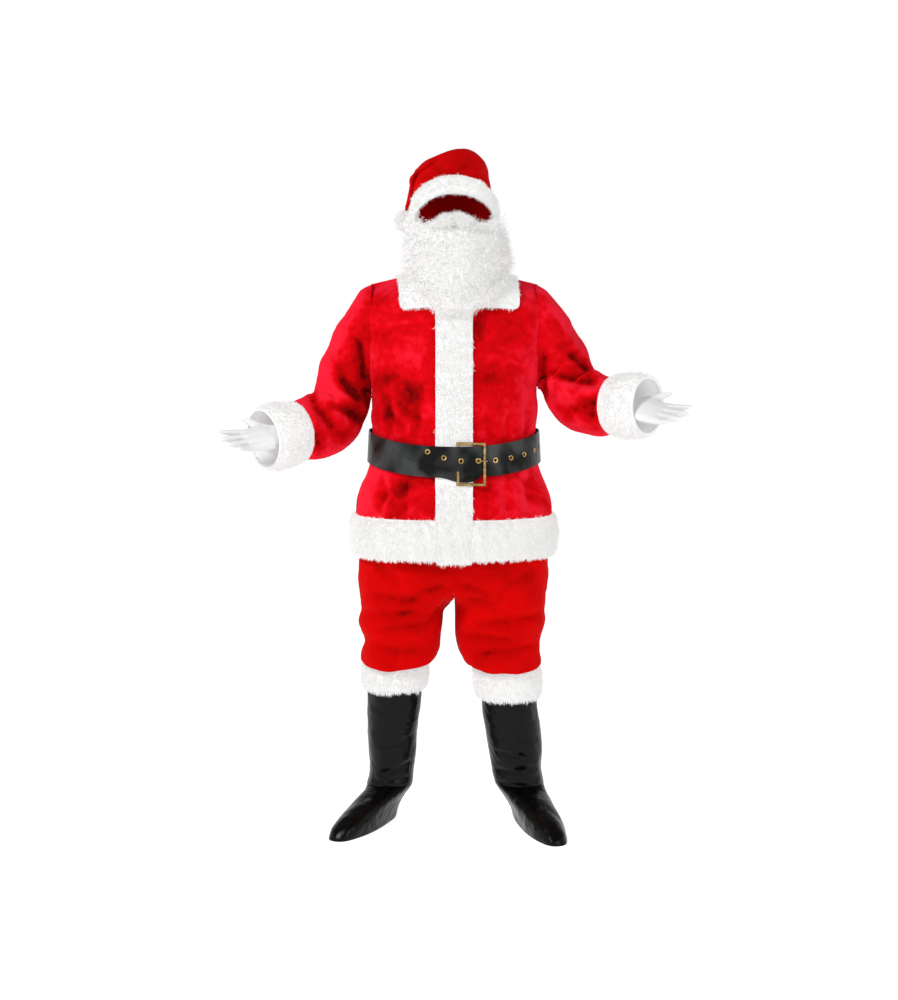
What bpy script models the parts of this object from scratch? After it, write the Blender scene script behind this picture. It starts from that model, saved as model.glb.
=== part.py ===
"""Santa suit, worn and hollow: jacket, belt, trousers, boot covers, hat, beard and gloves.

Heights in the tables are above the floor. +Z is up and the suit faces -Y.
Right and left are the wearer's, so right lies towards -X.
"""
import math
from collections import namedtuple

import bmesh
import bpy
import numpy as np
from mathutils import Matrix, Vector

# Driving sizes, metres
SEAM = 0.0003
PLUSH = 0.0025
VINYL = 0.0016
COTTON = 0.0012
FUR = 0.011
HOLD_HEIGHT = 1.48

TORSO_ROUNDNESS = 2.3
ARMHOLE_X = 0.222
ARMPIT_Z = 1.19
HEM_TOP_Z = 0.848
HEM_BOTTOM_Z = 0.742
NECK_HALF_WIDTH = 0.078
FRONT_NECK_Z = 1.425
BACK_NECK_Z = 1.478
SHOULDER_Z = 1.500
SHOULDER_SLOPE = 0.25
SHOULDER_ROUND_FRONT = 0.13
SHOULDER_ROUND_BACK = 0.12

TorsoRow = namedtuple("TorsoRow", "z half_width front back")
TORSO = [
    TorsoRow(0.740, 0.268, 0.196, 0.160),
    TorsoRow(0.800, 0.269, 0.194, 0.158),
    TorsoRow(0.860, 0.266, 0.190, 0.154),
    TorsoRow(0.900, 0.259, 0.185, 0.148),
    TorsoRow(0.940, 0.243, 0.178, 0.138),
    TorsoRow(0.985, 0.227, 0.171, 0.130),
    TorsoRow(1.030, 0.2215, 0.168, 0.127),
    TorsoRow(1.070, 0.2215, 0.169, 0.127),
    TorsoRow(1.120, 0.2218, 0.170, 0.131),
    TorsoRow(1.190, 0.2220, 0.166, 0.133),
    TorsoRow(1.280, 0.246, 0.155, 0.132),
    TorsoRow(1.360, 0.262, 0.140, 0.126),
    TorsoRow(1.440, 0.275, 0.128, 0.118),
    TorsoRow(1.520, 0.282, 0.118, 0.112),
]


def through(x, keys, values):
    """A smooth curve through a table's rows that never overshoots them."""
    keys = np.asarray(keys, float)
    values = np.asarray(values, float)
    x = np.clip(np.asarray(x, float), keys[0], keys[-1])
    step = np.diff(keys)
    slope = np.diff(values) / step
    tangent = np.zeros_like(values)
    before, after = slope[:-1], slope[1:]
    same_way = before * after > 0
    safe_before = np.where(same_way, before, 1.0)
    safe_after = np.where(same_way, after, 1.0)
    tangent[1:-1] = np.where(same_way, 2.0 / (1.0 / safe_before + 1.0 / safe_after), 0.0)
    tangent[0], tangent[-1] = slope[0], slope[-1]
    i = np.clip(np.searchsorted(keys, x, side="right") - 1, 0, len(step) - 1)
    t = (x - keys[i]) / step[i]
    start = (2 * t ** 3 - 3 * t ** 2 + 1) * values[i] + (t ** 3 - 2 * t ** 2 + t) * step[i] * tangent[i]
    end = (3 * t ** 2 - 2 * t ** 3) * values[i + 1] + (t ** 3 - t ** 2) * step[i] * tangent[i + 1]
    return start + end


def column(table, name, x, key="z"):
    return through(x, [getattr(row, key) for row in table], [getattr(row, name) for row in table])


def power(value, exponent):
    return np.sign(value) * np.abs(value) ** exponent


def unit(vectors):
    vectors = np.asarray(vectors, float)
    return vectors / np.maximum(np.linalg.norm(vectors, axis=-1, keepdims=True), 1e-12)


# Meshes

wearer_floor = None
suit = None
cutting = None
materials = {}
Finish = namedtuple("Finish", "colour roughness metallic")
FINISHES = {
    "jacket_plush": Finish((0.62, 0.005, 0.02), 0.75, 0.0),
    "trouser_plush": Finish((0.60, 0.004, 0.006), 0.85, 0.0),
    "white_fur": Finish((0.88, 0.87, 0.86), 0.95, 0.0),
    "beard_hair": Finish((0.86, 0.86, 0.85), 0.8, 0.0),
    "belt_black": Finish((0.015, 0.015, 0.017), 0.35, 0.0),
    "boot_black": Finish((0.012, 0.012, 0.011), 0.4, 0.0),
    "brass": Finish((0.45, 0.28, 0.10), 0.35, 1.0),
    "glove_white": Finish((0.84, 0.84, 0.85), 0.9, 0.0),
}


def finish(name):
    if name not in materials:
        material = bpy.data.materials.new(name)
        material.use_nodes = True
        shader = material.node_tree.nodes["Principled BSDF"]
        look = FINISHES[name]
        shader.inputs["Base Color"].default_value = (*look.colour, 1.0)
        shader.inputs["Roughness"].default_value = look.roughness
        shader.inputs["Metallic"].default_value = look.metallic
        materials[name] = material
    return materials[name]


def add_mesh(name, bm, material):
    bmesh.ops.recalc_face_normals(bm, faces=bm.faces)
    mesh = bpy.data.meshes.new(name)
    bm.to_mesh(mesh)
    bm.free()
    mesh.materials.append(finish(material))
    mesh.shade_smooth()
    mesh.set_sharp_from_angle(angle=math.radians(50))
    piece = bpy.data.objects.new(name, mesh)
    suit.objects.link(piece)
    piece.parent = wearer_floor
    return piece


def grid_faces(bm, points, around):
    """Quads over a grid of points; around closes each row into a ring."""
    rows, columns = points.shape[:2]
    verts = [[bm.verts.new(points[r, c]) for c in range(columns)] for r in range(rows)]
    last = columns if around else columns - 1
    for r in range(rows - 1):
        for c in range(last):
            d = (c + 1) % columns
            bm.faces.new((verts[r][c], verts[r][d], verts[r + 1][d], verts[r + 1][c]))
    return verts


def bridge(bm, one, other, closed):
    count = len(one)
    for i in range(count if closed else count - 1):
        j = (i + 1) % count
        bm.faces.new((one[i], one[j], other[j], other[i]))


def rim(verts):
    """The border of a grid, once round."""
    far_side = [row[-1] for row in verts[1:]]
    near_side = [row[0] for row in verts[-2:0:-1]]
    return list(verts[0]) + far_side + list(verts[-1][-2::-1]) + near_side


def wall(name, outer, inner, around, material):
    """A closed wall lofted between its outer and inner points."""
    bm = bmesh.new()
    out = grid_faces(bm, outer, around)
    ins = grid_faces(bm, inner, around)
    if around:
        bridge(bm, out[0], ins[0], True)
        bridge(bm, out[-1], ins[-1], True)
    else:
        bridge(bm, rim(out), rim(ins), True)
    return add_mesh(name, bm, material)


def grid_normals(points, around):
    """Unit normals of a grid, from the differences along its rows and columns."""
    down = np.gradient(points, axis=0)
    if around:
        across = np.roll(points, -1, axis=1) - np.roll(points, 1, axis=1)
    else:
        across = np.gradient(points, axis=1)
    return unit(np.cross(across, down))


def moved_in(points, thickness, around, centre, flat_start=None, flat_end=None):
    """Points moved inwards by a wall's thickness, with the end rows kept in their planes."""
    normals = grid_normals(points, around)
    outwards = np.sum(normals * (points - centre), axis=-1).sum()
    if outwards < 0:
        normals = -normals
    for row, axis in ((0, flat_start), (-1, flat_end)):
        if axis is not None:
            axis = unit(axis)
            normals[row] = unit(normals[row] - np.outer(normals[row] @ axis, axis))
    return points - normals * thickness


# Jacket

def ridge_z(x):
    """Height of the shoulder seam at a distance from the neck."""
    return SHOULDER_Z - SHOULDER_SLOPE * (np.maximum(np.abs(x), NECK_HALF_WIDTH) - NECK_HALF_WIDTH)


def torso_y(x, z, facing, out=0.0):
    """Depth of the jacket's body at x and z; facing is -1 for its front and 1 for its back."""
    half_width = column(TORSO, "half_width", z) + out
    depth = column(TORSO, "front" if facing < 0 else "back", z) + out
    across = np.clip(np.abs(x) / half_width, 0.0, 1.0)
    y = depth * (1.0 - across ** TORSO_ROUNDNESS) ** (1.0 / TORSO_ROUNDNESS)
    rounding = SHOULDER_ROUND_FRONT if facing < 0 else SHOULDER_ROUND_BACK
    under_ridge = np.clip((ridge_z(x) + out - z) / rounding, 0.0, 1.0)
    return facing * y * np.sqrt(1.0 - (1.0 - under_ridge) ** 2)


def panel_grid(facing, across, bottom_z, rows, out=0.0):
    """Body panel points, from the hem up to the neckline and the shoulder seam."""
    neck_z = FRONT_NECK_Z if facing < 0 else BACK_NECK_Z
    up = np.linspace(0.0, 1.0, rows)[:, None]
    spread = power(np.sin(np.asarray(across) * math.pi / 2), 2.0 / TORSO_ROUNDNESS)[None, :]
    top_x = ARMHOLE_X * spread
    in_neck = np.clip(np.abs(top_x) / NECK_HALF_WIDTH, 0.0, 1.0)
    neckline = neck_z + (SHOULDER_Z - neck_z) * (1.0 - np.sqrt(1.0 - in_neck ** 2))
    top_z = np.where(np.abs(top_x) < NECK_HALF_WIDTH, neckline, ridge_z(top_x))
    z = bottom_z + (top_z + out - bottom_z) * up
    reach = np.where(z < ARMPIT_Z, column(TORSO, "half_width", z), ARMHOLE_X)
    x = (reach + np.where(z < ARMPIT_Z, out, 0.0)) * spread
    y = torso_y(x, z, facing, out) + facing * SEAM / 2
    return np.stack([x, y, z], axis=-1)


PANEL_ROWS = 13


def add_jacket_body():
    for side, name in ((-1, "jacket_front_right"), (1, "jacket_front_left")):
        across = side * np.linspace(0.0, 1.0, 9)
        outer = panel_grid(-1, across, HEM_TOP_Z, PANEL_ROWS)
        inner = panel_grid(-1, across, HEM_TOP_Z, PANEL_ROWS, -PLUSH)
        outer[:, 0, 0] = inner[:, 0, 0] = side * SEAM / 2
        wall(name, outer, inner, False, "jacket_plush")
    across = np.linspace(-1.0, 1.0, 17)
    outer = panel_grid(1, across, HEM_TOP_Z, PANEL_ROWS)
    inner = panel_grid(1, across, HEM_TOP_Z, PANEL_ROWS, -PLUSH)
    wall("jacket_back", outer, inner, False, "jacket_plush")


def torso_ring(z, angle, out):
    """Point of the jacket's body at an angle from the front centre, positive to the left."""
    half_width = column(TORSO, "half_width", z) + out
    angle = np.asarray(angle)
    facing_front = np.cos(angle) >= 0
    depth = np.where(facing_front, column(TORSO, "front", z), column(TORSO, "back", z)) + out
    x = half_width * power(np.sin(angle), 2.0 / TORSO_ROUNDNESS)
    y = -depth * power(np.cos(angle), 2.0 / TORSO_ROUNDNESS)
    return np.stack(np.broadcast_arrays(x, y, z), axis=-1)


PLASTRON_HALF_WIDTH = 0.047
BELT_SPACE = (0.920, 0.934, 1.056, 1.070)


def add_hem():
    """Fur band that carries the jacket on below its plush, open where the front band crosses it."""
    z = np.array([HEM_TOP_Z - SEAM, 0.832, 0.795, 0.758, HEM_BOTTOM_Z])[:, None]
    band_edge = (PLASTRON_HALF_WIDTH + 0.001) / column(TORSO, "half_width", HEM_TOP_Z)
    start = math.asin(band_edge ** (TORSO_ROUNDNESS / 2))
    puff = np.array([0.004, 0.012, 0.014, 0.012, 0.005])[:, None]
    lengths = (
        ("hem_fur_front_right", np.linspace(-math.pi / 2 + 0.0008, -start, 9)),
        ("hem_fur_front_left", np.linspace(start, math.pi / 2 - 0.0008, 9)),
        ("hem_fur_back", np.linspace(math.pi / 2 + 0.0008, 1.5 * math.pi - 0.0008, 17)),
    )
    for name, angle in lengths:
        outer = torso_ring(z, angle[None, :], puff)
        inner = torso_ring(z, angle[None, :], -PLUSH)
        wall(name, outer, inner, False, "white_fur")


def add_plastron():
    """Fur band down the closing edge, from the collar to the hem, pressed flat behind the belt."""
    below = [HEM_BOTTOM_Z - 0.006, 0.775, 0.815, 0.850, 0.885]
    above = [1.115, 1.170, 1.225, 1.280, 1.325, 1.365, FRONT_NECK_Z - 0.028]
    z = np.array(below + [*BELT_SPACE[:2], 0.975, 1.015, *BELT_SPACE[2:]] + above)[:, None]
    across = np.linspace(-1.0, 1.0, 5)[None, :]
    x = PLASTRON_HALF_WIDTH * across * np.ones_like(z)
    crown = np.sqrt(1.0 - 0.75 * across ** 2)
    pressed = through(z, [0.7, *BELT_SPACE, 1.5], [1.0, 1.0, 0.22, 0.22, 1.0, 1.0])
    inner = np.stack([x, torso_y(x, z, -1) - 0.0012, z * np.ones_like(x)], axis=-1)
    outer = inner - np.stack([0 * x, FUR * crown * pressed, 0 * x], axis=-1)
    wall("plastron", outer, inner, False, "white_fur")


CollarRow = namedtuple("CollarRow", "around neck_x neck_z edge_x edge_z facing")
COLLAR = [
    CollarRow(0, 0.006, 1.4290, 0.006, 1.402, -1),
    CollarRow(1, 0.030, 1.4340, 0.060, 1.400, -1),
    CollarRow(2, 0.050, 1.4470, 0.110, 1.399, -1),
    CollarRow(3, 0.064, 1.4640, 0.150, 1.398, -1),
    CollarRow(4, 0.074, 1.4860, 0.154, 1.432, -1),
    CollarRow(5, 0.079, 1.4995, 0.156, 1.4795, -1),
    CollarRow(6, 0.072, 1.4900, 0.152, 1.430, 1),
    CollarRow(7, 0.056, 1.4830, 0.142, 1.392, 1),
    CollarRow(8, 0.030, 1.4800, 0.080, 1.384, 1),
    CollarRow(9, 0.0, 1.4795, 0.0, 1.382, 1),
]


COLLAR_GAP = 0.0026
COLLAR_SWAY = 0.014


def add_collar():
    """Flat fur collar: the body's own points, moved out."""
    side_rows = [(row, -1.0) for row in COLLAR] + [(row, 1.0) for row in COLLAR[-2::-1]]
    out_steps = np.linspace(0.0, 1.0, 5)
    points = np.zeros((len(out_steps), len(side_rows), 3))
    for c, (row, side) in enumerate(side_rows):
        sway = COLLAR_SWAY * (1 if row.facing < 0 else 0) * (0.5 if row.around == 5 else 1.0)
        x = row.neck_x + (row.edge_x - row.neck_x + side * sway) * out_steps
        z = row.neck_z + (row.edge_z - row.neck_z) * out_steps
        on_ridge = row.around == 5
        y = np.zeros_like(x) if on_ridge else torso_y(x, z, row.facing)
        points[:, c] = np.stack([side * x, y, ridge_z(x) if on_ridge else z], axis=-1)
    normals = grid_normals(points, False)
    if normals[:, 5, 2].mean() < 0:
        normals = -normals
    lower = points + normals * COLLAR_GAP
    upper = points + normals * (COLLAR_GAP + FUR * np.array([0.7, 1.0, 1.0, 0.95, 0.5])[:, None, None])
    wall("collar", upper, lower, False, "white_fur")


Arm = namedtuple("Arm", "side name upper_centre elbow cuff_end upper_radius elbow_radius cuff_radius")
ARMS = [
    Arm(-1, "right", (-0.300, -0.005, 1.174), (-0.319, -0.022, 1.092), (-0.495, -0.166, 1.061),
        0.076, 0.088, 0.076),
    Arm(1, "left", (0.302, -0.005, 1.214), (0.329, -0.022, 1.142), (0.502, -0.160, 1.146),
        0.077, 0.084, 0.074),
]
Crease = namedtuple("Crease", "around along run_around run_along half_width depth")
SLEEVE_CREASES = [
    Crease(0.30, 0.42, 0.09, 0.13, 0.045, -0.009),
    Crease(0.20, 0.58, 0.13, 0.05, 0.040, -0.011),
    Crease(0.16, 0.70, 0.13, -0.03, 0.035, 0.007),
    Crease(0.29, 0.82, 0.11, -0.05, 0.035, -0.008),
    Crease(0.42, 0.34, 0.04, 0.12, 0.040, -0.007),
    Crease(0.76, 0.55, 0.12, 0.04, 0.040, -0.007),
    Crease(0.68, 0.72, 0.11, -0.03, 0.035, -0.006),
]
CUFF_LENGTH = 0.098
ELBOW_CUT = 0.078


def crease_relief(creases, around, along, wrap):
    """Height of soft ridges and troughs, each along a short line across a wall."""
    relief = 0.0
    for row in creases:
        u = around - row.around
        if wrap:
            u = u - np.round(u)
        v = along - row.along
        length = row.run_around ** 2 + row.run_along ** 2
        t = np.clip((u * row.run_around + v * row.run_along) / length, -1.3, 1.3)
        apart = (u - t * row.run_around) ** 2 + (v - t * row.run_along) ** 2
        relief = relief + row.depth * np.exp(-apart / (2 * row.half_width ** 2)) * (1 - (t / 1.3) ** 2) ** 2
    return relief


def armhole_ring(side, angle):
    """Edge of the armhole, from the shoulder tip round its front; the sleeve starts here."""
    top = ridge_z(ARMHOLE_X)
    z = (top + ARMPIT_Z) / 2 + (top - ARMPIT_Z) / 2 * np.cos(angle)
    at_front = torso_y(ARMHOLE_X, z, -1)
    at_back = torso_y(ARMHOLE_X, z, 1)
    y = np.where(np.sin(angle) >= 0, at_front, at_back)
    return np.stack([np.full_like(z, side * (ARMHOLE_X + SEAM)), y, z], axis=-1)


def arm_path(arm, steps_forearm):
    """Centres and directions from the upper ring round the elbow to the cuff's end."""
    start = np.array(arm.upper_centre)
    elbow = np.array(arm.elbow)
    end = np.array(arm.cuff_end)
    along = unit(end - elbow)
    after = elbow + along * ELBOW_CUT
    t = np.linspace(0.0, 1.0, 5)[:, None]
    bend = (1 - t) ** 2 * start + 2 * t * (1 - t) * elbow + t ** 2 * after
    turning = unit(2 * (1 - t) * (elbow - start) + 2 * t * (after - elbow))
    length = np.linalg.norm(end - after)
    forward = np.asarray(steps_forearm)[:, None] * length
    straight = after + along * forward
    centres = np.concatenate([bend, straight])
    directions = np.concatenate([turning, np.repeat(along[None, :], len(straight), axis=0)])
    return centres, directions, length


def carried_frames(directions, outer):
    """Frames carried along a path with no twist, from the outer side at its start."""
    frames = []
    side = unit(outer - directions[0] * (outer @ directions[0]))
    for direction in directions:
        side = unit(side - direction * (side @ direction))
        frames.append((side, np.cross(side, direction)))
    return frames


def sleeve_rings(arm, angle, cap_steps, steps_forearm, radii):
    """Rings of the sleeve, from the armhole over the shoulder, round the elbow and on to the cuff."""
    centres, directions, length = arm_path(arm, steps_forearm)
    frames = carried_frames(directions, np.array([float(arm.side), 0.0, 0.35]))
    to_front = -np.sign(frames[0][1][1])
    rings = []
    for centre, (a, b), radius in zip(centres, frames, radii):
        rings.append(centre + radius * (np.cos(angle)[:, None] * a + np.sin(angle)[:, None] * b * to_front))
    start = armhole_ring(arm.side, angle)
    reach = np.linalg.norm(rings[0] - start, axis=1)[:, None]
    drop = -0.30 - 0.40 * (1 + np.cos(angle))
    leave = unit(np.stack([np.full_like(angle, arm.side), 0 * angle, drop], axis=-1)) * reach * 0.72
    arrive = directions[0] * reach
    cap = []
    for t in np.linspace(0.0, 1.0, cap_steps)[:-1]:
        cap.append((2 * t ** 3 - 3 * t ** 2 + 1) * start + (t ** 3 - 2 * t ** 2 + t) * leave
                   + (3 * t ** 2 - 2 * t ** 3) * rings[0] + (t ** 3 - t ** 2) * arrive)
    return np.array(cap + rings), directions[-1]


SLEEVE_AROUND = 18


def add_sleeve(arm):
    angle = np.linspace(0.0, 2 * math.pi, SLEEVE_AROUND, endpoint=False)
    length = np.linalg.norm(np.array(arm.cuff_end) - np.array(arm.elbow)) - ELBOW_CUT
    cuff_start = 1.0 - CUFF_LENGTH / length
    steps = [cuff_start * 0.5, cuff_start - SEAM / length]
    radii = through(np.linspace(0, 1, 7), [0, 0.4, 1], [arm.upper_radius, arm.elbow_radius, arm.cuff_radius])
    rings, along = sleeve_rings(arm, angle, 7, steps, radii)
    centre = rings.mean(axis=1, keepdims=True)
    down = np.linspace(0.0, 1.0, len(rings))[:, None]
    relief = crease_relief(SLEEVE_CREASES, angle[None, :] / (2 * math.pi), down, True)
    relief = relief * np.clip(down / 0.2, 0, 1) * np.clip((1 - down) / 0.1, 0, 1)
    rings = moved_in(rings, -relief[..., None], True, centre)
    inner = moved_in(rings, PLUSH, True, centre, flat_start=(1, 0, 0), flat_end=along)
    wall("sleeve_" + arm.name, rings, inner, True, "jacket_plush")
    end = np.array(arm.cuff_end)
    a, b = carried_frames([along], np.array([0.0, 0.0, 1.0]))[0]
    back = np.array([1.0, 0.86, 0.5, 0.14, 0.0]) * CUFF_LENGTH
    puff = np.array([0.002, 0.010, 0.0135, 0.012, 0.004])
    outer = []
    inside = []
    for step, fur in zip(back, puff):
        spoke = np.cos(angle)[:, None] * a + np.sin(angle)[:, None] * b
        outer.append(end - along * step + spoke * (arm.cuff_radius + fur))
        inside.append(end - along * step + spoke * (arm.cuff_radius - PLUSH))
    wall("cuff_fur_" + arm.name, np.array(outer), np.array(inside), True, "white_fur")


# Belt

BELT_HALF_WIDTH = 0.0405
BELT_THICKNESS = 0.003
BELT_LIFT = 0.0060
TONGUE_LIFT = 0.0104
BUCKLE_X = 0.0445
BUCKLE_HALF_WIDTH = 0.039
BUCKLE_HALF_HEIGHT = 0.057
BUCKLE_BAR = 0.0085
BUCKLE_THICKNESS = 0.0034
BUCKLE_UNDER = 0.0062
BUCKLE_OVER = 0.0036
PRONG_X = 0.063
PRONG_RADIUS = 0.0015
EYELET_HOLE = 0.0043
EYELET_RIM = 0.0080
EYELETS = 9
EYELET_PITCH = 0.0455


def belt_z(angle):
    """Height of the belt's middle: it dips at the belly."""
    return 1.0380 - 0.0385 * ((1 + np.cos(angle)) / 2) ** 3


def belt_lift(turn):
    """How far the strap stands off the jacket; it climbs over its own fixed end."""
    return BELT_LIFT + (TONGUE_LIFT - BELT_LIFT) * through(turn, [0.0, 5.4, 6.05, 7.4], [0.0, 0.0, 1.0, 1.0])


TIP_TURN = 2 * math.pi + 0.84
TongueRow = namedtuple("TongueRow", "past_front taper eyelet_row")
TONGUE = [
    TongueRow(-7.0, 1.0, 0.0),
    TongueRow(-0.37, 1.0, 0.0),
    TongueRow(-0.22, 0.89, -0.05),
    TongueRow(-0.05, 0.80, -0.15),
    TongueRow(0.12, 0.68, 0.05),
    TongueRow(0.30, 0.56, 0.48),
    TongueRow(0.45, 0.45, 0.5),
    TongueRow(0.66, 0.25, 0.5),
    TongueRow(0.84, 0.08, 0.5),
]
FIXED_TURN = 0.012


def belt_base(angle, z, out):
    """Point over the jacket on a surface that is straight from the belt's lower edge to its upper one."""
    middle = belt_z(angle)
    low = torso_ring(middle - BELT_HALF_WIDTH, angle, out)
    high = torso_ring(middle + BELT_HALF_WIDTH, angle, out)
    share = ((z - middle) / BELT_HALF_WIDTH + 1) / 2
    return low + (high - low) * np.asarray(share)[..., None]


def belt_grid(turn, rows, out):
    """Strap points; turn runs from the fixed end by the buckle round the right side, back and left."""
    angle = -turn
    taper = column(TONGUE, "taper", turn - 2 * math.pi, "past_front")
    climb = BELT_HALF_WIDTH * (1.0 - taper)
    z = belt_z(angle)[None, :] + climb[None, :] + rows[:, None] * BELT_HALF_WIDTH * taper[None, :]
    return belt_base(np.broadcast_to(angle, z.shape), z, belt_lift(turn)[None, :] + out)


STRAP_TURNS = np.linspace(FIXED_TURN, TIP_TURN, 74)


def front_y(x, z, out):
    """Depth of the belt's base surface at the front, at x and z."""
    half_width = column(TORSO, "half_width", z) + out
    angle = math.asin(abs(x / half_width) ** (TORSO_ROUNDNESS / 2)) * (1 if x > 0 else -1)
    return belt_base(np.array(angle), np.array(z), out)[1]


def eyelet_places():
    """Centre, outward and along directions of each eyelet, evenly spaced down the strap's middle."""
    strap = belt_grid(STRAP_TURNS, np.array([-1.0, 1.0]), BELT_THICKNESS / 2)
    row = column(TONGUE, "eyelet_row", STRAP_TURNS - 2 * math.pi, "past_front")[:, None]
    middle = (strap[0] * (1 - row) + strap[1] * (1 + row)) / 2
    run = np.concatenate([[0.0], np.cumsum(np.linalg.norm(np.diff(middle, axis=0), axis=1))])
    last_lap = STRAP_TURNS > 1.5 * math.pi
    prong_run = np.interp(-PRONG_X, -middle[last_lap, 0], run[last_lap])
    places = []
    for i in range(EYELETS):
        here = prong_run + (3 - i) * EYELET_PITCH
        facet = int(np.searchsorted(run, here)) - 1
        share = (here - run[facet]) / (run[facet + 1] - run[facet])
        at = middle[facet] + (middle[facet + 1] - middle[facet]) * share
        along = unit(middle[facet + 1] - middle[facet])
        outward = unit(np.cross(strap[1, facet] - strap[0, facet], along))
        if outward @ np.array([at[0], at[1], 0.0]) < 0:
            outward = -outward
        places.append((Vector(at), Vector(outward)))
    return places


def facing_matrix(place, outward):
    return Matrix.Translation(place) @ outward.to_track_quat("Z", "Y").to_matrix().to_4x4()


def cylinders(name, places, radius, depth, segments):
    bm = bmesh.new()
    for place, outward in places:
        bmesh.ops.create_cone(bm, cap_ends=True, segments=segments, radius1=radius, radius2=radius,
                              depth=depth, matrix=facing_matrix(place, outward))
    mesh = bpy.data.meshes.new(name)
    bm.to_mesh(mesh)
    bm.free()
    cutter = bpy.data.objects.new(name, mesh)
    cutter.parent = wearer_floor
    cutter.hide_render = True
    cutter.display_type = "WIRE"
    cutting.objects.link(cutter)
    return cutter


def add_belt():
    rows = np.array([-1.0, 1.0])
    outer = belt_grid(STRAP_TURNS, rows, BELT_THICKNESS)
    inner = belt_grid(STRAP_TURNS, rows, 0.0)
    strap = wall("belt_strap", outer, inner, False, "belt_black")
    places = eyelet_places()
    holes = strap.modifiers.new("eyelet_holes", "BOOLEAN")
    holes.operation = "DIFFERENCE"
    holes.object = cylinders("eyelet_cutters", places, EYELET_HOLE + SEAM, BELT_THICKNESS + 0.0010, 10)
    top = BELT_THICKNESS / 2
    profile = [(EYELET_HOLE, top + 0.0018), (EYELET_RIM, top + 0.0008), (EYELET_HOLE, top + 0.0007),
               (EYELET_HOLE - 0.0002, -top), (EYELET_HOLE - 0.0014, -top)]
    around = np.linspace(0.0, 2 * math.pi, 10, endpoint=False)
    for i, (place, outward) in enumerate(places):
        bm = bmesh.new()
        rings = np.array([[(r * math.cos(a), r * math.sin(a), h) for a in around] for r, h in profile])
        verts = grid_faces(bm, rings, True)
        bridge(bm, verts[-1], verts[0], True)
        bmesh.ops.transform(bm, matrix=facing_matrix(place, outward), verts=bm.verts)
        add_mesh(f"eyelet_{i + 1}", bm, "brass")


def buckle_y(x, z):
    """Inner face of the buckle's flat frame: under the strap at its left bar, over it at its right bar."""
    left_x = BUCKLE_X - BUCKLE_HALF_WIDTH
    right_x = BUCKLE_X + BUCKLE_HALF_WIDTH
    left = front_y(left_x + BUCKLE_BAR, z, 0.0) - BUCKLE_UNDER
    right = front_y(right_x - BUCKLE_BAR, z, 0.0) - TONGUE_LIFT - BELT_THICKNESS - BUCKLE_OVER
    return left + (right - left) * (x - left_x) / (right_x - left_x)


def add_buckle():
    """Frame of four flat bars with bevelled edges, and the prong through the fourth eyelet."""
    z_mid = belt_z(0.0) - 0.005
    half_w, half_h, bar, rise = BUCKLE_HALF_WIDTH, BUCKLE_HALF_HEIGHT, BUCKLE_BAR, BUCKLE_THICKNESS
    bevel = 0.0015
    sections = ((0.0, 0.0), (bevel, rise), (bar - bevel, rise), (bar, 0.0))
    rings = []
    for inset, out in sections:
        ring = []
        for sx, sz in ((-1, -1), (1, -1), (1, 1), (-1, 1)):
            x = BUCKLE_X + sx * (half_w - inset)
            z = z_mid + sz * (half_h - inset)
            ring.append((x, buckle_y(x, z) - out, z))
        rings.append(ring)
    bm = bmesh.new()
    verts = grid_faces(bm, np.array(rings), True)
    bridge(bm, verts[-1], verts[0], True)
    add_mesh("buckle_frame", bm, "brass")
    hole = eyelet_places()[3][0]
    z = hole.z
    over_bar = buckle_y(BUCKLE_X + half_w, z) - rise - PRONG_RADIUS - SEAM * 2
    under = buckle_y(BUCKLE_X - half_w, z) - 0.0020
    strap_y = front_y(hole.x, z, 0.0) - TONGUE_LIFT
    route = [(BUCKLE_X - half_w + bar + 0.0025, under), (hole.x - 0.006, strap_y + 0.0040),
             (hole.x - 0.0004, strap_y + 0.0026), (hole.x, strap_y - BELT_THICKNESS - 0.0012),
             (hole.x + 0.0040, over_bar), (BUCKLE_X + half_w + 0.004, over_bar)]
    curve = bpy.data.curves.new("buckle_prong", "CURVE")
    curve.dimensions = "3D"
    curve.bevel_depth = PRONG_RADIUS
    curve.bevel_resolution = 1
    curve.use_fill_caps = True
    spline = curve.splines.new("POLY")
    spline.points.add(len(route) - 1)
    for point, (x, y) in zip(spline.points, route):
        point.co = (x, y, z, 1.0)
    curve.materials.append(finish("brass"))
    prong = bpy.data.objects.new("buckle_prong", curve)
    suit.objects.link(prong)
    prong.parent = wearer_floor


# Trousers

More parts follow.
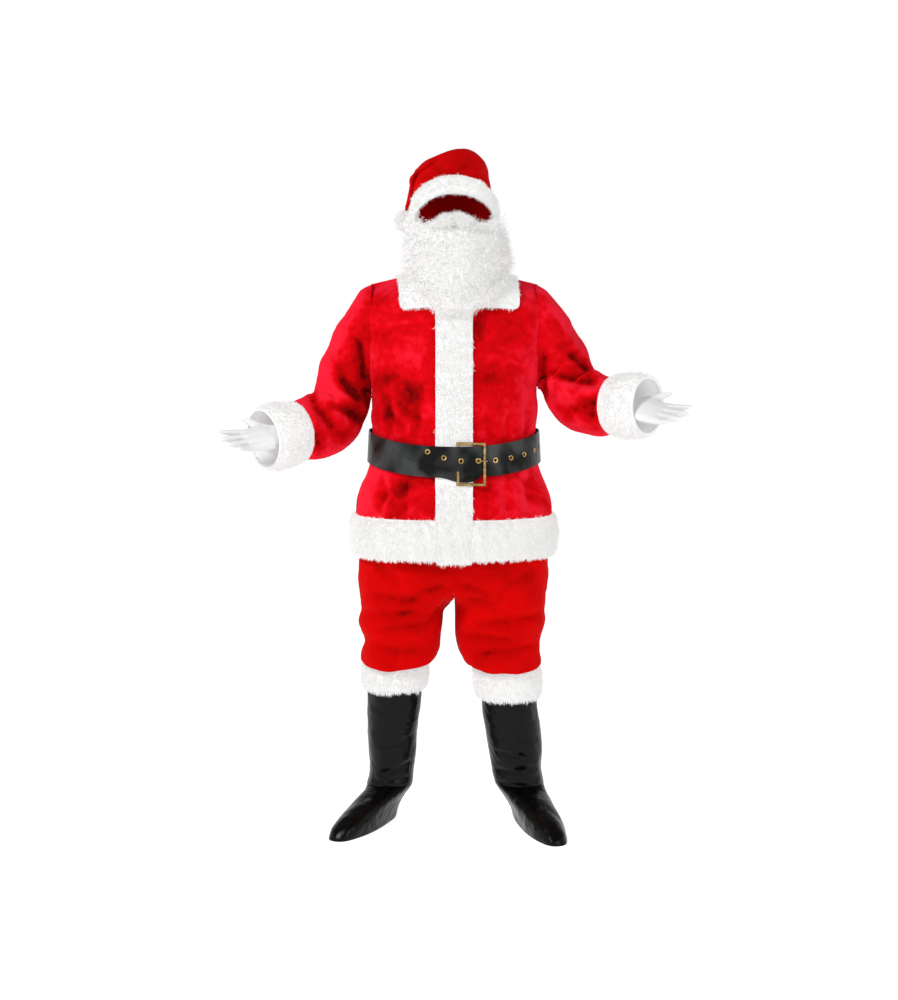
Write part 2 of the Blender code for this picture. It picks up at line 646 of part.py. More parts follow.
LegRow = namedtuple("LegRow", "step z outer_x inner_x front back")
LEGS = {
    "right": (-1, [
        LegRow(0, 0.446, 0.246, 0.074, 0.0885, 0.0885),
        LegRow(1, 0.434, 0.252, 0.064, 0.100, 0.098),
        LegRow(2, 0.446, 0.256, 0.050, 0.112, 0.106),
        LegRow(3, 0.475, 0.252, 0.040, 0.117, 0.111),
        LegRow(4, 0.510, 0.243, 0.036, 0.114, 0.110),
        LegRow(5, 0.548, 0.262, 0.030, 0.126, 0.116),
        LegRow(6, 0.580, 0.252, 0.028, 0.120, 0.120),
        LegRow(7, 0.606, 0.255, 0.006, 0.128, 0.126),
        LegRow(8, 0.640, 0.258, 0.0, 0.142, 0.136),
        LegRow(9, 0.690, 0.259, 0.0, 0.156, 0.144),
        LegRow(10, 0.740, 0.256, 0.0, 0.163, 0.146),
        LegRow(11, 0.830, 0.245, 0.0, 0.164, 0.140),
        LegRow(12, 0.920, 0.225, 0.0, 0.162, 0.124),
        LegRow(13, 1.000, 0.2180, 0.0, 0.1640, 0.1240),
    ]),
    "left": (1, [
        LegRow(0, 0.440, 0.232, 0.054, 0.0915, 0.0915),
        LegRow(1, 0.427, 0.238, 0.044, 0.101, 0.099),
        LegRow(2, 0.440, 0.240, 0.026, 0.112, 0.107),
        LegRow(3, 0.475, 0.234, 0.010, 0.118, 0.112),
        LegRow(4, 0.510, 0.238, 0.004, 0.116, 0.111),
        LegRow(5, 0.548, 0.250, 0.003, 0.125, 0.116),
        LegRow(6, 0.580, 0.247, 0.003, 0.121, 0.120),
        LegRow(7, 0.606, 0.250, 0.002, 0.128, 0.126),
        LegRow(8, 0.640, 0.252, 0.0, 0.142, 0.136),
        LegRow(9, 0.690, 0.256, 0.0, 0.156, 0.144),
        LegRow(10, 0.740, 0.255, 0.0, 0.163, 0.146),
        LegRow(11, 0.830, 0.245, 0.0, 0.164, 0.140),
        LegRow(12, 0.920, 0.225, 0.0, 0.162, 0.124),
        LegRow(13, 1.000, 0.2180, 0.0, 0.1640, 0.1240),
    ]),
}
CROTCH_Z = 0.612
FORK_TOP_Z = 0.78
LEG_ROUNDNESS = 2.2
WAIST_TOP_Z = 1.040
WAISTBAND = 0.0035


def leg_grid(leg, facing, steps, across, out=0.0, lift=0.0):
    """Half a trouser leg, front or back, from its band up to the waist."""
    side, table = LEGS[leg]
    z = column(table, "z", steps, "step")[:, None]
    outer_x = column(table, "outer_x", steps, "step")[:, None] + out
    depth = column(table, "front" if facing < 0 else "back", steps, "step")[:, None] + out
    leg_inner = column(table, "inner_x", steps, "step")[:, None] - out
    fork = np.clip((z - CROTCH_Z) / (FORK_TOP_Z - CROTCH_Z), 0.0, 1.0)
    reach = outer_x - leg_inner
    half_width = reach / 2 + (outer_x - reach / 2) * fork ** 0.7
    centre = outer_x - half_width
    seam_x = SEAM / 2
    inner_limit = np.clip((seam_x - centre) / half_width, -1.0, 0.0)
    end_angle = np.where(z > CROTCH_Z, np.arccos(inner_limit), math.pi)
    angle = end_angle * np.asarray(across)[None, :]
    x = centre + half_width * power(np.cos(angle), 2 / LEG_ROUNDNESS)
    x = np.maximum(x, seam_x)
    y = facing * (depth * power(np.sin(angle), 2 / LEG_ROUNDNESS) + SEAM / 2)
    return np.stack([side * x, y, (z + lift) * np.ones_like(x)], axis=-1)


def waist_ring(angle, out):
    """Two rings that carry the trousers' top edge up round the waist."""
    top = LEGS["left"][1][-1]
    depth = np.where(np.sin(angle) >= 0, top.back, top.front) + out
    x = (top.outer_x + out) * power(np.cos(angle), 2 / LEG_ROUNDNESS)
    y = depth * power(np.sin(angle), 2 / LEG_ROUNDNESS)
    z = np.array([top.z + SEAM, WAIST_TOP_Z])[:, None]
    return np.stack(np.broadcast_arrays(x, y, z), axis=-1)


def add_trousers():
    steps = np.linspace(0.0, 13.0, 14)
    across = np.linspace(0.0, 1.0, 8)
    turned_under = np.array([1.0, 0.0] + [-1.0] * 12)[:, None] * PLUSH
    raised = np.array([0.0, 1.3] + [0.0] * 12)[:, None] * PLUSH
    for leg in LEGS:
        for facing, where in ((-1, "front"), (1, "back")):
            outer = leg_grid(leg, facing, steps, across)
            inner = leg_grid(leg, facing, steps, across, turned_under, raised)
            wall(f"trouser_{leg}_{where}", outer, inner, False, "trouser_plush")
    angle = np.linspace(0.0, 2 * math.pi, 4 * (len(across) - 1), endpoint=False)
    wall("waistband", waist_ring(angle, 0.0), waist_ring(angle, -WAISTBAND), True, "trouser_plush")


BandRow = namedtuple("BandRow", "z x half_width")
LEG_BANDS = {
    "right": [BandRow(0.4455, 0.160, 0.0853), BandRow(0.368, 0.1635, 0.0815)],
    "left": [BandRow(0.4395, 0.143, 0.0883), BandRow(0.342, 0.1495, 0.0830)],
}


BAND_CLEAR = 0.0008


def add_leg_band(leg):
    """Fur band below a trouser leg, tucked up under the plush that falls over it."""
    side = LEGS[leg][0]
    top, bottom = LEG_BANDS[leg]
    share = np.array([0.0, 0.2, 0.5, 0.82, 1.0])
    puff = np.array([0.0, 0.006, 0.0105, 0.0095, 0.003])
    angle = np.linspace(0.0, 2 * math.pi, SHAFT_AROUND, endpoint=False)
    outer = []
    inner = []
    for s, fur in zip(share, puff):
        z = top.z + (bottom.z - top.z) * s
        x = side * (top.x + (bottom.x - top.x) * s)
        radius = top.half_width + (bottom.half_width - top.half_width) * s
        x_ring = x + side * (radius + fur) * np.cos(angle)
        y_ring = -(radius + fur) * 1.02 * np.sin(angle)
        outer.append(np.stack([x_ring, y_ring, np.full_like(angle, z)], axis=-1))
        inner.append(shaft_ring(leg, np.full_like(angle, z), angle, BAND_CLEAR))
    wall(f"trouser_band_{leg}", np.array(outer), np.array(inner), True, "white_fur")


# Boot covers

ShaftRow = namedtuple("ShaftRow", "z x half_width front back y")
Boot = namedtuple("Boot", "side sole_x yaw forward shaft")
BOOTS = {
    "right": Boot(-1, 0.204, math.radians(25), 0.262, [
        ShaftRow(0.100, 0.177, 0.0635, 0.066, 0.056, 0.010),
        ShaftRow(0.140, 0.171, 0.061, 0.064, 0.060, 0.010),
        ShaftRow(0.184, 0.170, 0.065, 0.067, 0.066, 0.008),
        ShaftRow(0.227, 0.170, 0.0676, 0.069, 0.070, 0.006),
        ShaftRow(0.270, 0.168, 0.070, 0.071, 0.073, 0.004),
        ShaftRow(0.310, 0.165, 0.0730, 0.0735, 0.0745, 0.002),
        ShaftRow(0.415, 0.1615, 0.0757, 0.077, 0.077, 0.000),
    ]),
    "left": Boot(1, 0.208, math.radians(13), 0.287, [
        ShaftRow(0.100, 0.181, 0.0680, 0.067, 0.058, 0.010),
        ShaftRow(0.140, 0.173, 0.0676, 0.066, 0.062, 0.010),
        ShaftRow(0.184, 0.1703, 0.073, 0.070, 0.068, 0.008),
        ShaftRow(0.227, 0.1649, 0.0757, 0.073, 0.072, 0.006),
        ShaftRow(0.270, 0.159, 0.0775, 0.0755, 0.075, 0.004),
        ShaftRow(0.310, 0.1535, 0.0765, 0.0765, 0.0765, 0.002),
        ShaftRow(0.410, 0.1465, 0.0775, 0.079, 0.079, 0.000),
    ]),
}
SHAFT_AROUND = 18
FOOT_HEEL = 0.046
SoleRow = namedtuple("SoleRow", "ahead half_width")
SOLE = [SoleRow(-1.0, 0.022), SoleRow(-0.5, 0.034), SoleRow(0.0, 0.046), SoleRow(0.4, 0.057),
        SoleRow(0.7, 0.061), SoleRow(1.0, 0.058)]
SOLE_Z = 0.0012


def shaft_ring(leg, z, angle, out=0.0):
    """Ring of a boot shaft; angle is 0 at the outer side and a quarter turn at the front."""
    side, table = BOOTS[leg].side, BOOTS[leg].shaft
    centre = column(table, "x", z)
    across = column(table, "half_width", z) + out
    depth = np.where(np.sin(angle) >= 0, column(table, "front", z), column(table, "back", z)) + out
    x = centre + across * np.cos(angle)
    y = -depth * np.sin(angle) + column(table, "y", z)
    return np.stack(np.broadcast_arrays(side * x, y, z), axis=-1)


def sole_ring(leg, angle):
    """Outline of the foot on the floor, turned out by the foot's yaw."""
    boot = BOOTS[leg]
    ahead = np.sin(angle)
    along = np.where(ahead > 0, boot.forward, FOOT_HEEL) * ahead
    across = column(SOLE, "half_width", ahead, "ahead") * power(np.cos(angle), 0.72)
    turned_x = across * math.cos(boot.yaw) + along * math.sin(boot.yaw)
    turned_y = across * math.sin(boot.yaw) - along * math.cos(boot.yaw)
    x = boot.sole_x + turned_x
    y = boot.shaft[0].y + turned_y
    return np.stack([boot.side * x, y, np.full_like(x, SOLE_Z)], axis=-1)


def foot_rings(leg, angle, steps):
    """Rings from the ankle seam over the instep and down to the floor."""
    ankle_z = np.full_like(angle, BOOTS[leg].shaft[0].z)
    start = shaft_ring(leg, ankle_z, angle) - np.array([0.0, 0.0, SEAM])
    end = sole_ring(leg, angle)
    span = end - start
    ahead = np.clip(np.sin(angle), 0.0, 1.0)[:, None]
    flat = span * np.array([1.0, 1.0, 0.0])
    leave = flat * (0.25 + 0.95 * ahead) + np.array([0.0, 0.0, -0.05]) * (1 + 0.35 * ahead)
    arrive = np.array([0.0, 0.0, -0.13]) + flat * 0.12
    rings = []
    for t in steps:
        rings.append((2 * t ** 3 - 3 * t ** 2 + 1) * start + (t ** 3 - 2 * t ** 2 + t) * leave
                     + (3 * t ** 2 - 2 * t ** 3) * end + (t ** 3 - t ** 2) * arrive)
    return np.array(rings)


def add_boot(leg):
    angle = np.linspace(0.0, 2 * math.pi, SHAFT_AROUND, endpoint=False)
    z = np.array([row.z for row in BOOTS[leg].shaft])
    outer = shaft_ring(leg, z[:, None], angle[None, :])
    inner = shaft_ring(leg, z[:, None], angle[None, :], -VINYL)
    wall("boot_shaft_" + leg, outer, inner, True, "boot_black")
    rings = foot_rings(leg, angle, np.linspace(0.0, 1.0, 7))
    inside = moved_in(rings, VINYL, True, rings.mean(axis=1, keepdims=True), (0, 0, 1), (0, 0, 1))
    wall("boot_foot_" + leg, rings, inside, True, "boot_black")


# Hat

BAND_CENTRE = np.array([0.001, 0.012, 1.650])
BAND_TILT = math.radians(34)
BAND_HALF_WIDTH = 0.106
BAND_HALF_DEPTH = 0.125
BAND_HALF_HEIGHT = 0.029
BAND_UP = np.array([0.0, math.sin(BAND_TILT), math.cos(BAND_TILT)])
FOLD_X = -0.103
FOLD_Z = 1.7300
FOLD_GAP = 0.006
CROWN_Y = 0.030
POMPOM_CENTRE = Vector((-0.134, 0.086, 1.637))
POMPOM_RADIUS = 0.028

FoldRow = namedtuple("FoldRow", "turn length depth lean")
CROWN_FOLD = [
    FoldRow(0, 0.200, 0.236, 0.36),
    FoldRow(15, 0.194, 0.218, 0.30),
    FoldRow(31, 0.166, 0.190, 0.20),
    FoldRow(52, 0.096, 0.160, 0.10),
    FoldRow(78, 0.047, 0.130, 0.0),
    FoldRow(115, 0.025, 0.105, 0.0),
    FoldRow(155, 0.020, 0.086, 0.0),
]
TailRow = namedtuple("TailRow", "x y z half_width half_depth")
TAIL = [
    TailRow(-0.1185, 0.042, 1.705, 0.0085, 0.034),
    TailRow(-0.1230, 0.060, 1.682, 0.0085, 0.025),
    TailRow(-0.1290, 0.078, 1.6655, 0.0085, 0.013),
]


def band_ring(angle, up, out):
    """Ring round the head; angle is 0 at the front and positive to the left."""
    x = (BAND_HALF_WIDTH + out) * np.sin(angle)
    along = (BAND_HALF_DEPTH + out) * np.cos(angle)
    y = -along * math.cos(BAND_TILT)
    z = along * math.sin(BAND_TILT)
    return BAND_CENTRE + np.stack([x, y, z], axis=-1) + up * BAND_UP


def crown_rings(angle):
    """Rings from the band up to the fold, round it, and down the tail to the pompom."""
    rings = [band_ring(angle, BAND_HALF_HEIGHT + SEAM, 0.0)]
    toward_left = np.sin(angle)
    toward_front = np.cos(angle)
    for row in CROWN_FOLD:
        turn = math.radians(row.turn)
        ray = np.array([math.cos(turn), 0.0, math.sin(turn)])
        middle = (row.length + FOLD_GAP) / 2
        half = (row.length - FOLD_GAP) / 2
        centre = np.array([FOLD_X, CROWN_Y, FOLD_Z]) + ray * middle
        spread = half * toward_left[:, None] * ray
        forward = np.array([0.0, -1.0, row.lean]) * row.depth / 2
        rings.append(centre + spread + forward * toward_front[:, None])
    for row in TAIL:
        centre = np.array([row.x, row.y, row.z])
        spread = np.stack([-row.half_width * toward_left, -row.half_depth * toward_front, 0 * angle], axis=-1)
        rings.append(centre + spread)
    return np.array(rings)


def add_hat():
    angle = np.linspace(0.0, 2 * math.pi, 22, endpoint=False)
    rings = crown_rings(angle)
    inner = moved_in(rings, PLUSH * 0.8, True, rings.mean(axis=1, keepdims=True), BAND_UP, (0, 0, 1))
    wall("hat_crown", rings, inner, True, "jacket_plush")
    around = np.linspace(0.0, 2 * math.pi, 30, endpoint=False)
    profile = [(-0.0025, 1.0), (0.006, 0.97), (0.013, 0.6), (0.0145, 0.0), (0.012, -0.65),
               (0.005, -1.0), (-0.0025, -0.95)]
    rings = np.array([band_ring(around, up * BAND_HALF_HEIGHT, out) for out, up in profile])
    bm = bmesh.new()
    verts = grid_faces(bm, rings, True)
    bridge(bm, verts[-1], verts[0], True)
    add_mesh("hat_band", bm, "white_fur")
    bm = bmesh.new()
    place = Matrix.Translation(POMPOM_CENTRE)
    bmesh.ops.create_icosphere(bm, subdivisions=2, radius=POMPOM_RADIUS, matrix=place)
    add_mesh("pompom", bm, "white_fur")


# Beard

BeardRow = namedtuple("BeardRow", "z sway half_width depth reach thickness")
BEARD = [
    BeardRow(1.390, 0.004, 0.046, 0.160, 60, 0.014),
    BeardRow(1.408, 0.005, 0.078, 0.172, 58, 0.026),
    BeardRow(1.435, 0.007, 0.100, 0.182, 62, 0.034),
    BeardRow(1.470, 0.010, 0.123, 0.186, 72, 0.036),
    BeardRow(1.510, 0.011, 0.137, 0.180, 88, 0.034),
    BeardRow(1.555, 0.007, 0.133, 0.168, 92, 0.032),
    BeardRow(1.590, 0.002, 0.128, 0.156, 88, 0.026),
    BeardRow(1.610, 0.0, 0.123, 0.148, 86, 0.014),
]
COLLAR_CLEAR = 0.0197


def beard_grids(z, across, out=0.0):
    """Outer and inner points of the beard, which lies on the collar below and on the face above."""
    half_width = column(BEARD, "half_width", z)[:, None]
    depth = column(BEARD, "depth", z)[:, None]
    reach = np.radians(column(BEARD, "reach", z))[:, None]
    thickness = column(BEARD, "thickness", z)[:, None]
    side_thin = 1.0 - 0.45 * np.abs(across)[None, :] ** 3
    angle = reach * across[None, :]
    rise = 0.0248 * across[None, :] ** 2 * np.clip((z[:, None] - 1.5) / 0.11, 0.0, 1.0)
    height = z[:, None] + rise
    thick = thickness * side_thin
    inner_x = column(BEARD, "sway", z)[:, None] + (half_width - thick) * np.sin(angle)
    inner_y = -(depth - thick) * np.cos(angle)
    over_ridge = ridge_z(inner_x) + COLLAR_CLEAR
    on_chest = torso_y(inner_x, np.minimum(height, over_ridge), -1, COLLAR_CLEAR) - 0.0015
    near = np.clip((over_ridge + 0.012 - height) / 0.010, 0.0, 1.0)
    inner_y = np.minimum(inner_y, on_chest * near + inner_y * (1 - near))
    outer_x = inner_x + (thick + out) * np.sin(angle)
    outer_y = inner_y - (thick + out) * np.maximum(np.cos(angle), 0.0)
    outer = np.stack([outer_x, outer_y, height * np.ones_like(outer_x)], axis=-1)
    inner = np.stack([inner_x, inner_y, height * np.ones_like(inner_x)], axis=-1)
    return outer, inner


MOUSTACHE_HALF = 0.064
MOUSTACHE_RADIUS = 0.0125


def moustache_rings(steps, angle):
    """Rings along the moustache, fat beside the middle and thin at its drooping ends."""
    rings = []
    for s in steps:
        x = MOUSTACHE_HALF * s
        z = 1.6275 - 0.016 * s ** 2
        face = -0.148 * math.sqrt(1 - (x / 0.123) ** 2)
        fullness = 0.72 + 0.28 * math.sin(math.pi * min(abs(s) * 1.6, 1.0))
        radius = MOUSTACHE_RADIUS * fullness * (1 - 0.7 * abs(s) ** 3)
        centre = np.array([x, face - radius - 0.0012, z])
        rings.append(centre + radius * np.stack([0 * angle, np.cos(angle), 1.05 * np.sin(angle)], axis=-1))
    return np.array(rings)


def add_beard():
    z = np.array([row.z for row in BEARD])
    across = np.linspace(-1.0, 1.0, 17)
    outer, inner = beard_grids(z, across)
    wall("beard", outer, inner, False, "beard_hair")
    bm = bmesh.new()
    angle = np.linspace(0.0, 2 * math.pi, 8, endpoint=False)
    verts = grid_faces(bm, moustache_rings(np.linspace(-1.0, 1.0, 9), angle), True)
    bm.faces.new(verts[0])
    bm.faces.new(verts[-1])
    add_mesh("moustache", bm, "beard_hair")


# Gloves

Hand = namedtuple("Hand", "side name wrist pointing palm_up")
HANDS = [
    Hand(-1, "right", (-0.4595, -0.1755, 1.068), (-0.80, -0.56, -0.10), (-0.05, -0.66, 0.75)),
    Hand(1, "left", (0.4660, -0.1690, 1.1418), (0.76, -0.62, -0.16), (0.05, -0.66, 0.75)),
]
PALM_LENGTH = 0.088
WRIST_BACK = 0.050
Finger = namedtuple("Finger", "length spread curl turn")
FINGERS = [Finger(0.070, 0.16, 0.10, 0.0), Finger(0.076, 0.05, 0.06, 0.0), Finger(0.072, -0.06, 0.10, 0.0),
           Finger(0.060, -0.20, 0.22, 0.0)]
THUMB = Finger(0.066, 0.92, 0.10, -0.35)
PALM_ROUNDING = 0.45
PalmRow = namedtuple("PalmRow", "along half_width half_height")
PALM = [
    PalmRow(-WRIST_BACK, 0.041, 0.030),
    PalmRow(0.004, 0.034, 0.021),
    PalmRow(0.042, 0.045, 0.019),
    PalmRow(PALM_LENGTH, 0.043, 0.014),
]


def glove_cage():
    """Coarse hand: along +X, palm towards +Z, thumb towards +Y; open at the wrist."""
    bm = bmesh.new()
    edges = np.linspace(-1.0, 1.0, 5)
    loops = []
    for row in PALM:
        height = row.half_height * (1.0 - PALM_ROUNDING * edges ** 2)
        upper = [bm.verts.new((row.along, row.half_width * e, h)) for e, h in zip(edges, height)]
        lower = [bm.verts.new((row.along, row.half_width * e, -h)) for e, h in zip(edges, height)]
        loops.append((upper, lower))
    thumb_face = None
    for (up0, low0), (up1, low1) in zip(loops[:-1], loops[1:]):
        for i in range(4):
            bm.faces.new((up0[i], up0[i + 1], up1[i + 1], up1[i]))
            bm.faces.new((low0[i + 1], low0[i], low1[i], low1[i + 1]))
        bm.faces.new((low0[0], up0[0], up1[0], low1[0]))
        face = bm.faces.new((up0[4], low0[4], low1[4], up1[4]))
        if up0[4].co.x > 0 and thumb_face is None:
            thumb_face = face
    tips = []
    up, low = loops[-1]
    for i, finger in enumerate(reversed(FINGERS)):
        face = bm.faces.new((up[i], up[i + 1], low[i + 1], low[i]))
        tips.append((face, finger))
    tips.append((thumb_face, THUMB))
    for face, finger in tips:
        for joint, (share, scale) in enumerate(((0.50, 0.84), (0.50, 0.66))):
            spread = finger.spread + joint * finger.turn
            heading = Vector((math.cos(spread), math.sin(spread), finger.curl * (joint + 1)))
            made = bmesh.ops.extrude_discrete_faces(bm, faces=[face])["faces"][0]
            centre = made.calc_center_median()
            step = finger.length * share
            for v in made.verts:
                v.co = centre + (v.co - centre) * scale + heading.normalized() * step
            face = made
    return bm


def add_glove(hand):
    bm = glove_cage()
    x_axis = Vector(hand.pointing).normalized()
    z_axis = Vector(hand.palm_up)
    z_axis = (z_axis - x_axis * z_axis.dot(x_axis)).normalized()
    y_axis = z_axis.cross(x_axis) * (1 if hand.side > 0 else -1)
    if y_axis.z < 0:
        y_axis = -y_axis
    turn = Matrix((x_axis, y_axis, z_axis)).transposed().to_4x4()
    bmesh.ops.transform(bm, matrix=Matrix.Translation(hand.wrist) @ turn, verts=bm.verts)
    name = "glove_" + hand.name
    bmesh.ops.recalc_face_normals(bm, faces=bm.faces)
    mesh = bpy.data.meshes.new(name)
    bm.to_mesh(mesh)
    bm.free()
    mesh.materials.append(finish("glove_white"))
    mesh.shade_smooth()
    glove = bpy.data.objects.new(name, mesh)
    suit.objects.link(glove)
    glove.parent = wearer_floor
    rounded = glove.modifiers.new("rounded", "SUBSURF")
    rounded.levels = 1
    rounded.render_levels = 1
    cloth = glove.modifiers.new("cloth", "SOLIDIFY")
    cloth.thickness = COTTON
    cloth.offset = -1.0


def main():
    global wearer_floor, suit, cutting
    for old in list(bpy.data.objects):
        bpy.data.objects.remove(old)
    suit = bpy.data.collections.new("santa_suit")
    cutting = bpy.data.collections.new("cutters")
    bpy.context.scene.collection.children.link(suit)
    bpy.context.scene.collection.children.link(cutting)
    wearer_floor = bpy.data.objects.new("wearer_floor", None)
    wearer_floor.location = (0.0, 0.0, -HOLD_HEIGHT)
    suit.objects.link(wearer_floor)
    add_jacket_body()
    add_hem()
    add_plastron()
    add_collar()
    for arm in ARMS:
        add_sleeve(arm)
    add_belt()
    add_buckle()
    add_trousers()
    for leg in LEGS:
        add_leg_band(leg)
        add_boot(leg)
    add_hat()
    add_beard()
    for hand in HANDS:
        add_glove(hand)


main()
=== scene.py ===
# %% [markdown]
# A santa suit is a set of garments: a plush jacket with long-pile fur on its hem, cuffs, front and
# collar, a black belt, plush trousers with fur bands, vinyl boot covers, a hat, a beard and cotton gloves.
# The frame that is loaded here is its plain model: every piece with its right size and place, and no
# cloth on it yet. Each step below takes one kind of piece and gives it its folds, pile and finish.
# Lengths are metres, and heights in the tables are above the floor.

# %% Load the plain model
import math
from collections import namedtuple

import bmesh
import bpy
import numpy as np
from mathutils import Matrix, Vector
from mathutils.bvhtree import BVHTree
from mathutils.kdtree import KDTree


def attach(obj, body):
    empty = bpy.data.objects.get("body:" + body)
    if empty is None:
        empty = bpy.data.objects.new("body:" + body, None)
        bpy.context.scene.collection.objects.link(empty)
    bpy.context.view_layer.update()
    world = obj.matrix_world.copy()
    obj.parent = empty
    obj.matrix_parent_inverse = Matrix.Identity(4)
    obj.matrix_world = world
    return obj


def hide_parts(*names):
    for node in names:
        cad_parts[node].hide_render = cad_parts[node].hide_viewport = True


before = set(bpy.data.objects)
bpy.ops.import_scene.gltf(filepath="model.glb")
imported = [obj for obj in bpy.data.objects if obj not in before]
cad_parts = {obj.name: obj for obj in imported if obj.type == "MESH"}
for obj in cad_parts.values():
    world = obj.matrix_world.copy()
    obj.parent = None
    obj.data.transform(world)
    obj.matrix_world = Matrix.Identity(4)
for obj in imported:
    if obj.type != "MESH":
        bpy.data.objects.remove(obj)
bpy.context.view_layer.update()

# %% [markdown]
# The origin lies between the shoulders, so the floor lies below it. Every step that draws random numbers has
# a seed of its own, so each run gives the same suit.

# %% Shared sizes
FLOOR_Z = -1.48
CUT_MARK = 1


def nodes_of(*names):
    return [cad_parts[name] for name in names]


def unit(vectors):
    return vectors / np.maximum(np.linalg.norm(vectors, axis=-1, keepdims=True), 1e-12)


def smooth_step(value):
    """Rises gently from 0 to 1 as its value does."""
    value = np.clip(value, 0.0, 1.0)
    return value * value * (3 - 2 * value)


print("floor at", FLOOR_Z, "nodes in the frame", len(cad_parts))


# %% [markdown]
# Every finish here is made of a few shader nodes. These helpers add one node each: a noise for patches, a mix
# of two values, a ramp that turns a value into a colour, and a bump that turns it into fine relief.

# %% Helpers for finishes
def new_material(name, roughness, colour=None, metallic=0.0, sheen=0.0, sheen_tint=None, specular=0.5):
    material = bpy.data.materials.new(name)
    material.use_nodes = True
    shader = material.node_tree.nodes["Principled BSDF"]
    if colour:
        shader.inputs["Base Color"].default_value = (*colour, 1.0)
    shader.inputs["Roughness"].default_value = roughness
    shader.inputs["Metallic"].default_value = metallic
    shader.inputs["Specular IOR Level"].default_value = specular
    shader.inputs["Sheen Weight"].default_value = sheen
    if sheen_tint:
        shader.inputs["Sheen Tint"].default_value = (*sheen_tint, 1.0)
    return material


def add_noise(material, scale, detail=2.0, distortion=0.0):
    nodes, links = material.node_tree.nodes, material.node_tree.links
    place = nodes.new("ShaderNodeTexCoord")
    noise = nodes.new("ShaderNodeTexNoise")
    noise.inputs["Scale"].default_value = scale
    noise.inputs["Detail"].default_value = detail
    noise.inputs["Distortion"].default_value = distortion
    links.new(place.outputs["Object"], noise.inputs["Vector"])
    return noise.outputs["Fac"]


def add_mix(material, one, other, share):
    mix = material.node_tree.nodes.new("ShaderNodeMix")
    mix.inputs[0].default_value = share
    material.node_tree.links.new(one, mix.inputs[2])
    material.node_tree.links.new(other, mix.inputs[3])
    return mix.outputs[0]


def add_ramp(material, value, stops):
    ramp = material.node_tree.nodes.new("ShaderNodeValToRGB")
    material.node_tree.links.new(value, ramp.inputs["Fac"])
    elements = ramp.color_ramp.elements
    while len(elements) < len(stops):
        elements.new(0.5)
    for element, (position, colour) in zip(elements, stops):
        element.position = position
        element.color = (*colour, 1.0)
    shader = material.node_tree.nodes["Principled BSDF"]
    material.node_tree.links.new(ramp.outputs["Color"], shader.inputs["Base Color"])


def add_bump(material, value, strength, distance):
    """Adds relief; a second bump on the same material is laid over the first."""
    bump = material.node_tree.nodes.new("ShaderNodeBump")
    bump.inputs["Strength"].default_value = strength
    bump.inputs["Distance"].default_value = distance
    material.node_tree.links.new(value, bump.inputs["Height"])
    normal = material.node_tree.nodes["Principled BSDF"].inputs["Normal"]
    if normal.is_linked:
        material.node_tree.links.new(normal.links[0].from_socket, bump.inputs["Normal"])
    material.node_tree.links.new(bump.outputs["Normal"], normal)


# %% [markdown]
# Crushed plush is never one red. Its nap lies in patches, some facing the light and some away from it, so
# two noises, one as wide as a hand and one as wide as a finger, choose between a deep and a pinkish red: the
# nap's own random tone, with painted highlight in the pinkish red. Sheen is the rim of light that short
# upright fibres catch when they are seen from the side; besides the shader's sheen, the red is painted
# lighter where the surface turns away from the viewer, as painted sheen. The depth of the cloth's own folds
# is noted later on each point, and the red is painted deeper there, as painted shade where the pile is hidden
# from the light.

# %% Plush
FINGER_SHARE = 0.25
FOLD_SHADE = -0.14


def plush(name, stops, patch, nap, painted_sheen_share):
    """Plush with random nap patches, painted sheen where it turns away from the viewer and painted shade in
    its folds.
    """
    material = new_material(name, 0.75, sheen=0.022, sheen_tint=(1.0, 0.2, 0.25), specular=0.012)
    nodes, links = material.node_tree.nodes, material.node_tree.links
    wide = add_noise(material, patch, 3.0, 1.0)
    fine = add_noise(material, nap, 3.0, 0.4)
    # Painted sheen: the red is mixed lighter where the surface turns away from the viewer.
    layer = nodes.new("ShaderNodeLayerWeight")
    layer.inputs["Blend"].default_value = 0.42
    patches = add_mix(material, wide, fine, FINGER_SHARE)
    with_painted_sheen = add_mix(material, patches, layer.outputs["Facing"], painted_sheen_share)
    # Painted shade: the red is made deeper where the stored fold depth is large, and a little lighter on
    # ridges.
    painted_fold_shading = nodes.new("ShaderNodeAttribute")
    painted_fold_shading.attribute_name = "painted_fold_shading"
    shaded = nodes.new("ShaderNodeMath")
    shaded.operation = "MULTIPLY_ADD"
    shaded.inputs[1].default_value = FOLD_SHADE
    links.new(painted_fold_shading.outputs["Fac"], shaded.inputs[0])
    links.new(with_painted_sheen, shaded.inputs[2])
    add_ramp(material, shaded.outputs[0], stops)
    add_bump(material, add_noise(material, 260.0, 2.0), 0.3, 0.0010)
    return material


# Each ramp runs from a near-black red, reached where the folds' painted shade lowers the value, through the
# plush's own reds; the jacket's pinkish last stop is painted highlight.
JACKET_NAP_AND_PAINTED_LIGHT = [
    (0.20, (0.09, 0.0006, 0.0008)),
    (0.31, (0.36, 0.0008, 0.0018)),
    (0.39, (0.52, 0.0012, 0.0045)),
    (0.51, (0.72, 0.0110, 0.0290)),
]
TROUSER_NAP_AND_PAINTED_LIGHT = [
    (0.14, (0.12, 0.0006, 0.0006)),
    (0.25, (0.36, 0.0008, 0.0006)),
    (0.46, (0.52, 0.0010, 0.0010)),
]
HAT_NAP_AND_PAINTED_LIGHT = [
    (0.14, (0.09, 0.0006, 0.0006)),
    (0.25, (0.30, 0.0008, 0.0008)),
    (0.50, (0.45, 0.0010, 0.0020)),
]
red_plush = plush("red_plush", JACKET_NAP_AND_PAINTED_LIGHT, 6.5, 55.0, 0.30)
